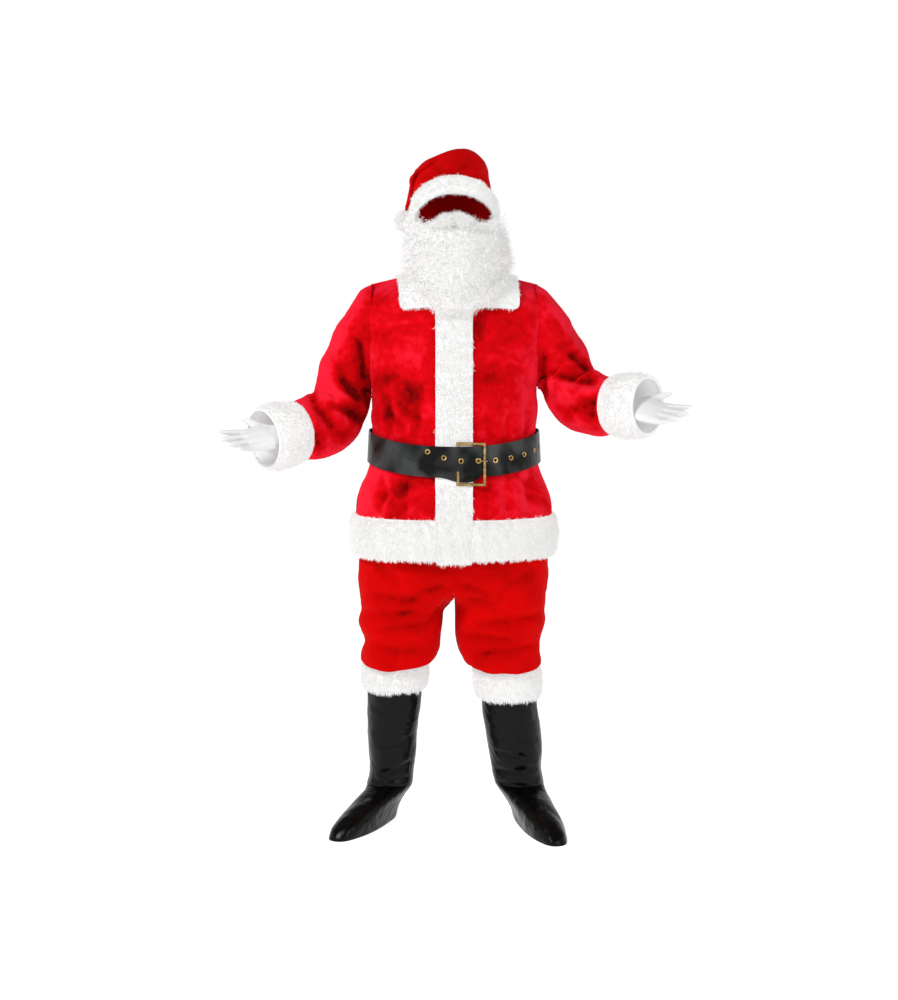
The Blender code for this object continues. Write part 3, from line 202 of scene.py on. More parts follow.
red_trouser_plush = plush("red_trouser_plush", TROUSER_NAP_AND_PAINTED_LIGHT, 7.0, 60.0, 0.35)
red_hat_plush = plush("red_hat_plush", HAT_NAP_AND_PAINTED_LIGHT, 9.0, 60.0, 0.35)
print("plush finishes", red_plush.name, red_trouser_plush.name, red_hat_plush.name)

# %% [markdown]
# Fur and beard are white fibres. Each fibre is its own island of the mesh, and the Random Per Island output
# gives each one a slightly different white, as dyed batches of yarn do. Thin white fibres pass light on to
# the ones behind them, so even their shaded places stay light. A small glow stands for that passed-on light.

# %% Fibres
def fibre(name, dark, light, roughness, glow):
    material = new_material(name, roughness, sheen=0.05, specular=0.1)
    shader = material.node_tree.nodes["Principled BSDF"]
    shader.inputs["Emission Color"].default_value = (1.0, 1.0, 1.0, 1.0)
    shader.inputs["Emission Strength"].default_value = glow
    nodes, links = material.node_tree.nodes, material.node_tree.links
    geometry = nodes.new("ShaderNodeNewGeometry")
    add_ramp(material, geometry.outputs["Random Per Island"], [(0.0, dark), (1.0, light)])
    return material


white_fur = fibre("white_fur", (0.60, 0.595, 0.59), (0.68, 0.68, 0.675), 0.85, 0.22)
beard_hair = fibre("beard_hair", (0.60, 0.595, 0.59), (0.78, 0.775, 0.77), 0.7, 0.14)
print("fibre finishes", white_fur.name, beard_hair.name)

# %% [markdown]
# Gloves are matt cotton with a fine knit. The belt is black leather with a fine grain, and soft grey patches
# on it are painted highlights. Boot vinyl is blacker and shinier, and it wrinkles, so a wide bump tilts its
# highlights under the fine grain. The brass has darkened unevenly, as cast buckles do.

# %% Cotton, leather, vinyl and brass
cotton = new_material("glove_cotton", 0.9, (0.66, 0.66, 0.67), sheen=0.1, specular=0.15)
add_bump(cotton, add_noise(cotton, 900.0), 0.4, 0.0006)
belt_leather = new_material("belt_leather", 0.30, specular=0.12)
# Painted highlight: soft grey patches spread at random over the black leather.
BELT_BLACK_AND_PAINTED_HIGHLIGHT = [(0.36, (0.0025, 0.0028, 0.0028)), (0.72, (0.040, 0.042, 0.042))]
add_ramp(belt_leather, add_noise(belt_leather, 13.0, 1.0, 0.8), BELT_BLACK_AND_PAINTED_HIGHLIGHT)
add_bump(belt_leather, add_noise(belt_leather, 420.0, 3.0), 0.22, 0.0005)
boot_vinyl = new_material("boot_vinyl", 0.28, (0.0012, 0.0012, 0.0010), specular=0.13)
add_bump(boot_vinyl, add_noise(boot_vinyl, 14.0, 2.0, 1.0), 0.8, 0.008)
add_bump(boot_vinyl, add_noise(boot_vinyl, 300.0, 2.0), 0.22, 0.0005)
brass = new_material("antique_brass", 0.34, metallic=1.0)
BRASS_TONES = [(0.35, (0.24, 0.15, 0.05)), (0.65, (0.55, 0.38, 0.15))]
add_ramp(brass, add_noise(brass, 90.0, 3.0), BRASS_TONES)
print("other finishes", cotton.name, belt_leather.name, boot_vinyl.name, brass.name)

# %% [markdown]
# A maker's panel is one sheet. The frame's panel is a wall with an outer face, an inner face and a rim
# between them. The rim turns away from both at nearly a right angle, so walking from face to face without
# ever crossing such a sharp edge finds the outer face, the inner one and the strips of the rim one by one.

# %% From a plain solid to its outer sheet
RIM_TURN = math.radians(48)
JOINED = 1e-5
QUAD_TURN = math.radians(50)


def node_mesh(node):
    """The node's mesh in the suit's own place, its doubled points joined and its triangles paired."""
    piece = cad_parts[node]
    bm = bmesh.new()
    bm.from_mesh(piece.data)
    bm.transform(piece.matrix_world)
    bmesh.ops.remove_doubles(bm, verts=bm.verts, dist=JOINED)
    bmesh.ops.join_triangles(bm, faces=bm.faces, angle_face_threshold=QUAD_TURN,
                             angle_shape_threshold=math.pi)
    bmesh.ops.recalc_face_normals(bm, faces=bm.faces)
    bm.faces.ensure_lookup_table()
    return bm


def mark_wall(bm, lies_on=None):
    """Gives the wall's inner face material number 1 and the rest of it, such as its rim, number 2."""
    left = set(bm.faces)
    shells = []
    while left:
        shell = [left.pop()]
        for face in shell:
            for edge in face.edges:
                if edge.calc_face_angle(math.pi) > RIM_TURN:
                    continue
                for near in edge.link_faces:
                    if near in left:
                        left.discard(near)
                        shell.append(near)
        shells.append(shell)
    shells.sort(key=lambda shell: -sum(face.calc_area() for face in shell))
    if lies_on:
        away = [sum(lies_on.find_nearest(face.calc_center_median())[3] for face in shell) / len(shell)
                for shell in shells[:2]]
        if away[0] < away[1]:
            shells[0], shells[1] = shells[1], shells[0]
    for number, shell in enumerate(shells):
        for face in shell:
            face.material_index = min(number, 2)
    return len(shells)


def outer_sheet(node):
    bm = node_mesh(node)
    shells = mark_wall(bm)
    cut = [face for face in bm.faces if face.material_index]
    bmesh.ops.delete(bm, geom=cut, context="FACES")
    print(node, "shells", shells, "outer faces", len(bm.faces))
    return bm


# %% [markdown]
# The frame's walls are coarse, and cloth has no flat faces, so each sheet is divided until it is smooth.
# Subdivision pulls a surface inwards, which would open the seams. So the coarse points are first pushed out.

# %% Smooth a sheet without shrinking it
SETTLING_ROUNDS = 3
SETTLING_SHARE = 0.9


def fine(bm, name, levels):
    """Smooths a coarse sheet, which after a few rounds comes close to the frame's own points."""
    mesh = bpy.data.meshes.new(name)
    bm.to_mesh(mesh)
    bm.free()
    coarse = bpy.data.objects.new(name + "_coarse", mesh)
    bpy.context.collection.objects.link(coarse)
    smooth = coarse.modifiers.new("smooth", "SUBSURF")
    smooth.levels = smooth.render_levels = 1
    smooth.boundary_smooth = "PRESERVE_CORNERS"
    wanted = points_of(mesh)
    for _ in range(SETTLING_ROUNDS):
        seen = coarse.evaluated_get(bpy.context.evaluated_depsgraph_get())
        settled = points_of(seen.data)[:len(wanted)]
        set_points(mesh, points_of(mesh) + SETTLING_SHARE * (wanted - settled))
    smooth.levels = smooth.render_levels = levels
    seen = coarse.evaluated_get(bpy.context.evaluated_depsgraph_get())
    made = bpy.data.meshes.new_from_object(seen)
    bpy.data.objects.remove(coarse)
    bpy.data.meshes.remove(mesh)
    made.name = name
    return made


def points_of(mesh, kind="co"):
    out = np.empty(len(mesh.vertices) * 3)
    mesh.vertices.foreach_get(kind, out)
    return out.reshape(-1, 3)


def set_points(mesh, points):
    mesh.vertices.foreach_set("co", points.ravel())
    mesh.update()


LEVELS = 3
print("a sheet is divided", LEVELS, "times")

# %% [markdown]
# A finished mesh becomes a piece of the suit: it gets its one finish, smooth shading and a name, it rides on
# the suit's single body, and the plain solid it takes the place of is hidden.

# %% Add a piece to the suit
def add_piece(name, mesh, material, node=None):
    mesh.materials.clear()
    mesh.materials.append(material)
    mesh.polygons.foreach_set("material_index", np.zeros(len(mesh.polygons), dtype=np.int32))
    mesh.shade_smooth()
    piece = bpy.data.objects.new(name, mesh)
    bpy.context.collection.objects.link(piece)
    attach(piece, "root")
    if node:
        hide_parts(node)
    return piece


def edge_distance(mesh):
    """Distance of every point from the sheet's nearest cut edge."""
    counts = {}
    for polygon in mesh.polygons:
        for key in polygon.edge_keys:
            counts[key] = counts.get(key, 0) + 1
    border = sorted({vertex for key, count in counts.items() if count == 1 for vertex in key})
    points = points_of(mesh)
    if not border:
        return np.full(len(points), 1.0)
    tree = KDTree(len(border))
    for i, vertex in enumerate(border):
        tree.insert(points[vertex], i)
    tree.balance()
    return np.array([tree.find(point)[2] for point in points])


# %% [markdown]
# Cloth folds where it has too much length: at the armpit, inside the elbow, over the belt and on the boot.
# Each row is one crease, seen from the front: where it starts and ends, how wide and deep it is, and how far
# it bows sideways. Front and back have rows of their own. A crease is a hollow with a low ridge on both
# sides, because the cloth that leaves the hollow has to go somewhere.

# %% Folds
Fold = namedtuple("Fold", "x0 z0 x1 z1 width depth bow face")
FRONT, BACK = -1, 1
LINE_STEPS = 8
END_SHARE = 0.3


def on_face(face, rows):
    return [Fold(*row, face) for row in rows]


def fold_field(points, normals, folds, wider=1.0):
    """How far each point moves out because of the folds."""
    x, z = points[:, 0], points[:, 2] - FLOOR_Z
    moved = np.zeros(len(points))
    for fold in folds:
        start, end = np.array([fold.x0, fold.z0]), np.array([fold.x1, fold.z1])
        run = end - start
        length = np.linalg.norm(run)
        side = np.array([-run[1], run[0]]) / length
        near = np.full(len(points), 1e9)
        share = np.zeros(len(points))
        line = [start + run * t + side * fold.bow * 4 * t * (1 - t)
                for t in np.linspace(0, 1, LINE_STEPS + 1)]
        for i, (a, b) in enumerate(zip(line, line[1:])):
            ab = b - a
            t = np.clip(((x - a[0]) * ab[0] + (z - a[1]) * ab[1]) / (ab @ ab), 0, 1)
            away = np.hypot(x - a[0] - ab[0] * t, z - a[1] - ab[1] * t)
            closer = away < near
            near = np.where(closer, away, near)
            share = np.where(closer, (i + t) / LINE_STEPS, share)
        q = (near / (fold.width * wider)) ** 2
        profile = -(1 - 0.8 * q) * np.exp(-q) * fold.depth
        ends = smooth_step(share / END_SHARE + 0.12) * smooth_step((1 - share) / END_SHARE + 0.12)
        facing = smooth_step(normals[:, 1] * fold.face * 2.2 + 0.45)
        moved += profile * facing * ends
    return moved


# %% [markdown]
# Between its creases, cloth still isn't flat. A sum of a few bent waves, each in its own random direction,
# gives soft hollows without a pattern. Every piece has its own seed, so no two pieces are alike.

# %% Unevenness, and laying the folds into a sheet
WAVES = 9
SEAM_WIDTH = 0.004
SEAM_SHADE_WIDTH = 0.003
PRESSED_IN = 0.0004
SMALL_WAVE, SMALL_SIZE, SMALL_SEED = 0.33, 0.35, 50


def unevenness(points, size, wave, seed):
    """A sum of soft bent waves in random directions."""
    rng = np.random.default_rng(seed)
    moved = np.zeros(len(points))
    for _ in range(WAVES):
        way = unit(rng.normal(size=3))
        across = unit(rng.normal(size=3))
        length = wave * rng.uniform(0.7, 1.5)
        bend = np.sin(points @ across * 2 * math.pi / (length * 2.3) + rng.uniform(0, 6.28)) * 1.4
        moved += np.sin(points @ way * 2 * math.pi / length + bend + rng.uniform(0, 6.28))
    return moved * size / math.sqrt(WAVES)


def lay_folds(mesh, folds, seed, wave, size, edge=0.012, groove=0.0005, edge_share=0.3, deeper=1.0,
              wider=1.5, dark_at=0.016, puff=None, pressed=None):
    """Moves a sheet's points out and in, less near a cut edge, and notes how deep each one lies, for painted
    shade.

    Puff adds fullness to a part of the sheet, and pressed names the part that lies under something else.
    """
    points, normals = points_of(mesh), points_of(mesh, "normal")
    away = edge_distance(mesh)
    folded = fold_field(points, normals, folds, wider) * deeper
    moved = folded + unevenness(points, size, wave, seed)
    moved = moved + unevenness(points, size * SMALL_SIZE, wave * SMALL_WAVE, seed + SMALL_SEED)
    moved *= edge_share + (1 - edge_share) * smooth_step(away / edge)
    moved -= groove * np.exp(-(away / SEAM_WIDTH) ** 2)
    if pressed:
        moved = moved + (np.minimum(moved, -PRESSED_IN) - moved) * pressed(points, normals)
    if puff:
        moved += puff(points, normals)
    # Painted shade and highlight: each point's fold depth is stored, so the plush paints its red deeper in
    # hollows and a little lighter on ridges.
    painted_fold_shading = mesh.attributes.new("painted_fold_shading", "FLOAT", "POINT")
    depth = np.clip(-(folded + 0.4 * (moved - folded)) / dark_at, -0.4, 1.0)
    # Painted shade: a little more depth is noted along the seams, so the red is painted deeper there.
    depth = depth + 0.10 * np.exp(-(away / SEAM_SHADE_WIDTH) ** 2)
    painted_fold_shading.data.foreach_set("value", depth.astype(np.float32))
    set_points(mesh, points + normals * moved[:, None])
    print(mesh.name, "triangles", len(mesh.polygons) * 2, "folds", moved.min().round(4), moved.max().round(4))


# %% [markdown]
# The jacket is full in the body and pulled in by the belt, so its folds stand up and hang down from the belt.
# Lifted sleeves draw slanting folds from the armpits. The unseen back has like folds of its own.

# %% Jacket folds
BODY_FOLDS = on_face(FRONT, [
    (-0.187, 1.127, -0.119, 1.073, 0.012, 0.005, 0.006),
    (-0.146, 1.154, -0.065, 1.1, 0.011, 0.004, -0.005),
    (0.057, 1.181, 0.178, 1.154, 0.014, 0.0045, 0.01),
    (-0.16, 1.05, -0.173, 1.195, 0.011, 0.0042, 0.005),
    (-0.105, 1.044, -0.092, 1.154, 0.01, 0.004, -0.004),
    (0.097, 1.044, 0.084, 1.154, 0.01, 0.0042, 0.004),
    (0.178, 1.045, 0.2, 1.181, 0.012, 0.0048, -0.006),
    (0.138, 1.04, 0.146, 1.141, 0.009, 0.0036, 0.003),
    (-0.208, 1.18, -0.12, 1.235, 0.014, 0.0045, 0.008),
    (0.21, 1.185, 0.13, 1.26, 0.015, 0.0045, -0.009),
    (-0.19, 1.33, -0.11, 1.29, 0.02, 0.0035, -0.01),
    (0.18, 1.345, 0.105, 1.3, 0.018, 0.0032, 0.008),
    (-0.214, 0.876, -0.16, 0.919, 0.011, 0.0042, 0.004),
    (-0.146, 0.87, -0.078, 0.916, 0.011, 0.004, -0.005),
    (-0.187, 0.965, -0.205, 0.843, 0.012, 0.0055, 0.004),
    (-0.119, 0.96, -0.132, 0.849, 0.011, 0.0046, -0.004),
    (0.124, 0.96, 0.141, 0.849, 0.012, 0.005, 0.005),
    (0.192, 0.97, 0.214, 0.857, 0.013, 0.0055, -0.004),
    (0.07, 0.95, 0.076, 0.88, 0.009, 0.003, 0.002),
]) + on_face(BACK, [
    (-0.18, 1.045, -0.165, 1.17, 0.013, 0.005, 0.006),
    (-0.11, 1.045, -0.125, 1.2, 0.012, 0.0045, -0.006),
    (-0.04, 1.045, -0.03, 1.15, 0.011, 0.0038, 0.004),
    (0.045, 1.045, 0.055, 1.185, 0.012, 0.0045, -0.005),
    (0.115, 1.045, 0.1, 1.16, 0.011, 0.0042, 0.005),
    (0.185, 1.045, 0.175, 1.19, 0.013, 0.005, -0.004),
    (-0.205, 1.22, -0.09, 1.29, 0.016, 0.0045, 0.012),
    (0.2, 1.21, 0.095, 1.27, 0.016, 0.0045, -0.012),
    (-0.12, 1.385, 0.1, 1.37, 0.022, 0.003, -0.015),
    (-0.19, 0.97, -0.205, 0.85, 0.013, 0.0055, 0.004),
    (-0.105, 0.97, -0.12, 0.85, 0.012, 0.005, -0.005),
    (-0.03, 0.965, -0.025, 0.86, 0.011, 0.004, 0.003),
    (0.06, 0.97, 0.07, 0.85, 0.012, 0.0048, -0.004),
    (0.145, 0.97, 0.165, 0.855, 0.013, 0.0055, 0.005),
])
print("jacket folds", len(BODY_FOLDS))

# %% [markdown]
# Belt, front band and collar lie on the jacket, and cloth can't stand out through what presses on it. So the
# three panels are laid in folds everywhere but there.

# %% Jacket panels
def under_trim(points, normals):
    """Where the belt, the front band and the collar lie on the jacket, so that no fold can stand out."""
    width, height = np.abs(points[:, 0]), points[:, 2] - FLOOR_Z
    belt = smooth_step((height - 0.930) / 0.02) * (1 - smooth_step((height - 1.080) / 0.02))
    band = (1 - smooth_step((width - 0.050) / 0.012)) * (normals[:, 1] < 0)
    collar = smooth_step((height - 1.360) / 0.02) * (1 - smooth_step((width - 0.185) / 0.02))
    return np.maximum(np.maximum(belt, band), collar)


for number, node in enumerate(("jacket_front_right", "jacket_front_left", "jacket_back")):
    sheet = fine(outer_sheet(node), node, LEVELS)
    lay_folds(sheet, BODY_FOLDS, 10 + number, wave=0.12, size=0.0022, deeper=1.7, wider=1.5,
              dark_at=0.036, groove=0.0, pressed=under_trim)
    add_piece(node + "_plush", sheet, red_plush, node)

# %% [markdown]
# A sleeve is a tube that is cut wide so that the arm can move. Bent, it has too much cloth inside the elbow
# and under the arm. There its folds are deepest.

# %% Sleeve folds
SLEEVE_FOLDS = {
    "sleeve_right": on_face(FRONT, [
        (-0.262, 1.335, -0.245, 1.195, 0.016, 0.0085, 0.01),
        (-0.249, 1.195, -0.214, 1.114, 0.014, 0.008, 0.004),
        (-0.308, 1.232, -0.236, 1.141, 0.015, 0.0095, -0.01),
        (-0.34, 1.146, -0.227, 1.087, 0.016, 0.0105, 0.01),
        (-0.295, 1.068, -0.384, 1.195, 0.016, 0.009, 0.012),
        (-0.39, 1.11, -0.345, 1.03, 0.013, 0.006, -0.006),
        (-0.345, 1.29, -0.3, 1.215, 0.018, 0.0055, 0.008),
        (-0.42, 1.075, -0.395, 1.01, 0.012, 0.0045, 0.004),
    ]) + on_face(BACK, [
        (-0.262, 1.335, -0.24, 1.19, 0.017, 0.0085, -0.01),
        (-0.33, 1.24, -0.24, 1.16, 0.016, 0.009, 0.01),
        (-0.39, 1.2, -0.27, 1.12, 0.017, 0.0095, -0.012),
        (-0.4, 1.14, -0.31, 1.07, 0.015, 0.008, 0.008),
        (-0.43, 1.09, -0.36, 1.03, 0.013, 0.0055, -0.006),
    ]),
    "sleeve_left": on_face(FRONT, [
        (0.241, 1.3, 0.249, 1.135, 0.016, 0.009, -0.01),
        (0.246, 1.235, 0.395, 1.208, 0.015, 0.0095, -0.012),
        (0.425, 1.2, 0.285, 1.122, 0.017, 0.0105, 0.012),
        (0.287, 1.282, 0.368, 1.216, 0.015, 0.0075, 0.008),
        (0.33, 1.115, 0.43, 1.15, 0.013, 0.006, -0.006),
        (0.405, 1.235, 0.44, 1.175, 0.013, 0.005, 0.005),
        (0.3, 1.35, 0.345, 1.29, 0.018, 0.005, 0.006),
    ]) + on_face(BACK, [
        (0.248, 1.3, 0.25, 1.15, 0.017, 0.0085, 0.01),
        (0.26, 1.23, 0.38, 1.19, 0.016, 0.009, 0.012),
        (0.29, 1.16, 0.42, 1.18, 0.016, 0.009, -0.01),
        (0.3, 1.3, 0.38, 1.24, 0.016, 0.0065, -0.008),
        (0.37, 1.13, 0.45, 1.14, 0.013, 0.0055, 0.006),
    ]),
}
print("sleeve folds", [len(folds) for folds in SLEEVE_FOLDS.values()])

# %% [markdown]
# The top of a sleeve is cut longer than its armhole and eased in, so it stands up round beyond the shoulder.
# Its edge is drawn a few millimetres over the armhole, so no slit shows between the two sheets.

# %% Sleeves
SHOULDER_PUFF = 0.0100
CAP_OVERLAP = 0.004
SEAM_X = 0.222


def shoulder_puff(points, normals):
    """The extra height of the sleeve's cap, just beyond the seam."""
    beyond = np.abs(points[:, 0]) - SEAM_X
    along = smooth_step((beyond + 0.014) / 0.040) * (1 - smooth_step((beyond - 0.07) / 0.12))
    return SHOULDER_PUFF * along * smooth_step(normals[:, 2] * 1.5 + 0.35)


for number, (node, folds) in enumerate(SLEEVE_FOLDS.items()):
    sheet = fine(outer_sheet(node), node, LEVELS)
    points = points_of(sheet)
    tucked = 1 - smooth_step((np.abs(points[:, 0]) - SEAM_X) / 0.02)
    points[:, 0] -= np.sign(points[:, 0]) * CAP_OVERLAP * tucked
    set_points(sheet, points)
    lay_folds(sheet, folds, 20 + number, wave=0.085, size=0.0018, edge=0.020, edge_share=0.1,
              deeper=1.5, wider=1.3, dark_at=0.011, groove=0.0, puff=shoulder_puff)
    add_piece(node + "_plush", sheet, red_plush, node)

# %% [markdown]
# Trouser plush falls from the thigh on to the leg band and bags over it, so its folds run across the leg and
# lie closer together the lower they are. The waistband is under the jacket and keeps its plain shape.

# %% Trouser folds
TROUSER_FOLDS = on_face(FRONT, [
    (-0.245, 0.63, -0.06, 0.611, 0.014, 0.0048, 0.012),
    (-0.255, 0.584, -0.085, 0.602, 0.012, 0.005, -0.008),
    (-0.238, 0.541, -0.045, 0.551, 0.013, 0.0055, 0.008),
    (-0.228, 0.503, -0.07, 0.49, 0.011, 0.0045, -0.007),
    (-0.005, 0.672, -0.125, 0.625, 0.013, 0.0048, -0.008),
    (-0.005, 0.641, -0.082, 0.556, 0.012, 0.0045, 0.008),
    (-0.215, 0.72, -0.14, 0.665, 0.016, 0.0035, 0.008),
    (0.008, 0.63, 0.13, 0.598, 0.013, 0.005, 0.008),
    (0.036, 0.565, 0.238, 0.59, 0.013, 0.0055, -0.01),
    (0.012, 0.526, 0.184, 0.506, 0.012, 0.0048, 0.008),
    (0.064, 0.485, 0.232, 0.505, 0.011, 0.0045, -0.006),
    (0.005, 0.672, 0.104, 0.63, 0.013, 0.0045, 0.008),
    (0.215, 0.7, 0.13, 0.655, 0.016, 0.0035, -0.008),
]) + on_face(BACK, [
    (-0.24, 0.635, -0.05, 0.6, 0.014, 0.005, 0.01),
    (-0.235, 0.57, -0.07, 0.59, 0.013, 0.0055, -0.008),
    (-0.23, 0.52, -0.06, 0.51, 0.012, 0.005, 0.006),
    (-0.22, 0.48, -0.09, 0.49, 0.011, 0.004, -0.005),
    (-0.01, 0.69, -0.13, 0.64, 0.014, 0.0045, -0.008),
    (0.24, 0.64, 0.05, 0.605, 0.014, 0.005, -0.01),
    (0.235, 0.56, 0.06, 0.585, 0.013, 0.0055, 0.008),
    (0.225, 0.515, 0.05, 0.5, 0.012, 0.005, -0.006),
    (0.21, 0.475, 0.08, 0.485, 0.011, 0.004, 0.005),
    (0.01, 0.69, 0.13, 0.645, 0.014, 0.0045, 0.008),
])
print("trouser folds", len(TROUSER_FOLDS))

# %% [markdown]
# Where a leg bags over its band, the cloth hangs lowest in front and behind and is drawn up at the sides. The
# seam between the legs stays where it is while the folds are laid, and its two sides overlap by a hair.

# %% Trousers
TROUSER_NODES = ("trouser_right_front", "trouser_left_front", "trouser_right_back", "trouser_left_back")
BAG_FRONT = 0.015
BAG_SIDE = 0.007
BAG_BELOW, BAG_FADE = 0.43, 0.075
SEAM_TUCK = 0.0005
SEAM_HALF = 0.004
for number, node in enumerate(TROUSER_NODES):
    sheet = fine(outer_sheet(node), node, LEVELS)
    points, normals = points_of(sheet), points_of(sheet, "normal")
    low = 1 - smooth_step((points[:, 2] - FLOOR_Z - BAG_BELOW) / BAG_FADE)
    points[:, 2] += low * (BAG_SIDE - (BAG_FRONT + BAG_SIDE) * np.abs(normals[:, 1]) ** 1.5)
    set_points(sheet, points)
    seam = np.abs(points[:, 0]) < SEAM_HALF
    seam_x = points[seam, 0] - np.sign(points[seam, 0]) * SEAM_TUCK
    lay_folds(sheet, TROUSER_FOLDS, 30 + number, wave=0.09, size=0.0018, deeper=2.0, wider=1.4,
              dark_at=0.013)
    points = points_of(sheet)
    points[seam, 0] = seam_x
    set_points(sheet, points)
    add_piece(node + "_plush", sheet, red_trouser_plush, node)
bm = node_mesh("waistband")
sheet = bpy.data.meshes.new("waistband")
bm.to_mesh(sheet)
bm.free()
add_piece("waistband_plush", sheet, red_trouser_plush, "waistband")
print("waistband faces", len(sheet.polygons))

# %% [markdown]
# The crown is one long cone of plush. Above the band it stands, folds over, and its tail hangs to the pompom.

# %% Hat
HAT_FOLDS = on_face(FRONT, [
    (0.051, 1.8, 0.01, 1.745, 0.013, 0.005, 0.006),
    (-0.06, 1.79, -0.02, 1.74, 0.014, 0.005, -0.006),
    (-0.1, 1.74, -0.03, 1.715, 0.012, 0.0055, 0.008),
    (-0.095, 1.715, -0.01, 1.705, 0.01, 0.004, -0.005),
    (0.09, 1.76, 0.04, 1.715, 0.013, 0.004, 0.006),
]) + on_face(BACK, [
    (-0.09, 1.78, -0.04, 1.7, 0.015, 0.005, 0.008),
    (0.07, 1.78, 0.02, 1.68, 0.016, 0.005, -0.01),
    (0.0, 1.8, -0.02, 1.72, 0.014, 0.004, 0.006),
])
CROWN_SIDE = 0.011
TAIL_IN = 0.004
CROWN_FRONT_UP = 0.004
sheet = fine(outer_sheet("hat_crown"), "hat_crown", LEVELS)
points = points_of(sheet)
height = points[:, 2] - FLOOR_Z
folded_over = smooth_step((-points[:, 0] - 0.099) / 0.006)
beside = smooth_step((-points[:, 0] - 0.050) / 0.035) * smooth_step((1.775 - height) / 0.03)
beside = beside * (1 - folded_over)
points[:, 0] += TAIL_IN * folded_over * smooth_step((1.745 - height) / 0.02) - CROWN_SIDE * beside
points[:, 2] += CROWN_FRONT_UP * smooth_step(-points[:, 1] / 0.1)
set_points(sheet, points)
BAND_MIDDLE = np.array([0.001, 0.012, 1.650 + FLOOR_Z])
BAND_TILT = math.radians(34)
BAND_UP = np.array([0.0, math.sin(BAND_TILT), math.cos(BAND_TILT)])


def in_band(points, normals):
    """The crown's edge is sewn inside the band, so nothing of it stands out there."""
    return 1 - smooth_step(((points - BAND_MIDDLE) @ BAND_UP - 0.036) / 0.015)


lay_folds(sheet, HAT_FOLDS, 41, wave=0.06, size=0.0012, deeper=1.2, wider=1.4, dark_at=0.012,
          pressed=in_band)
add_piece("hat_crown_plush", sheet, red_hat_plush, "hat_crown")

# %% [markdown]
# Thin vinyl is stiffer than plush: it creases in a few sharp lines at the ankle, where the foot bends.

# %% Boot covers
BOOT_FOLDS = on_face(FRONT, [
    (0.1, 0.197, 0.225, 0.172, 0.008, 0.0034, 0.006),
    (0.098, 0.144, 0.238, 0.155, 0.008, 0.0036, -0.005),
    (0.112, 0.108, 0.25, 0.086, 0.008, 0.003, 0.005),
    (0.11, 0.25, 0.215, 0.232, 0.01, 0.0022, -0.004),
    (-0.108, 0.172, -0.222, 0.133, 0.008, 0.0034, 0.006),
    (-0.118, 0.12, -0.235, 0.112, 0.008, 0.003, -0.005),
    (-0.112, 0.235, -0.225, 0.215, 0.01, 0.0022, 0.005),
]) + on_face(BACK, [
    (0.1, 0.165, 0.235, 0.15, 0.009, 0.0034, 0.006),
    (0.105, 0.125, 0.24, 0.13, 0.008, 0.003, -0.005),
    (-0.105, 0.165, -0.23, 0.15, 0.009, 0.0034, -0.006),
    (-0.11, 0.125, -0.235, 0.13, 0.008, 0.003, 0.005),
])
BOOT_NODES = ("boot_shaft_right", "boot_shaft_left", "boot_foot_right", "boot_foot_left")
for number, node in enumerate(BOOT_NODES):
    sheet = fine(outer_sheet(node), node, LEVELS)
    lay_folds(sheet, BOOT_FOLDS, 50 + number, wave=0.07, size=0.0008, edge=0.008, groove=0.0008,
              deeper=1.3, wider=1.1)
    add_piece(node + "_vinyl", sheet, boot_vinyl, node)

# %% [markdown]
# A cotton glove is knitted thin and follows the hand, so it only needs a smoother surface.

# %% Gloves
for node in ("glove_right", "glove_left"):
    sheet = fine(node_mesh(node), node, 2)
    points, normals = points_of(sheet), points_of(sheet, "normal")
    set_points(sheet, points + normals * unevenness(points, 0.0004, 0.02, 61)[:, None])
    add_piece(node + "_cotton", sheet, cotton, node)
    print(node, "faces", len(sheet.polygons))

# %% [markdown]
# The strap keeps the frame's exact shape, because its eyelets and buckle sit on it.

# %% Belt strap
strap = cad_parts["belt_strap"].data.copy()
add_piece("belt_strap_leather", strap, belt_leather, "belt_strap")
print("strap faces", len(strap.polygons))

# %% [markdown]
# The strap's fixed end goes round the buckle's bar and lies doubled behind it. The frame's strap stops at the
# bar, so this short flap of the same leather fills the place behind the buckle. It lies on the front band:
# rays find the front band's depth near the belt's lower and upper edge, and the flap is spanned between them.

# %% The strap's doubled end
FLAP_X = (-0.045, -0.020, -0.004, 0.008, 0.018, 0.034, 0.054, 0.070)
FLAP_LOWS = (0.9610, 0.9560, 0.9510, 0.9480, 0.9470, 0.9465, 0.9490, 0.9620)
FLAP_OUT = 0.0050
FLAP_HIGH = 1.0385
FLAP_THICK = 0.0012
FLAP_INSET = 0.009
RAY_START_Y = -1.0


def depth_under(x, z):
    start = Vector((x, RAY_START_Y, z + FLOOR_Z))
    hits = [tree.ray_cast(start, Vector((0, 1, 0)))[0] for tree in under_trees]
    return min(hit.y for hit in hits if hit is not None)


def node_tree(node):
    bm = node_mesh(node)
    tree = BVHTree.FromBMesh(bm)
    bm.free()
    return tree


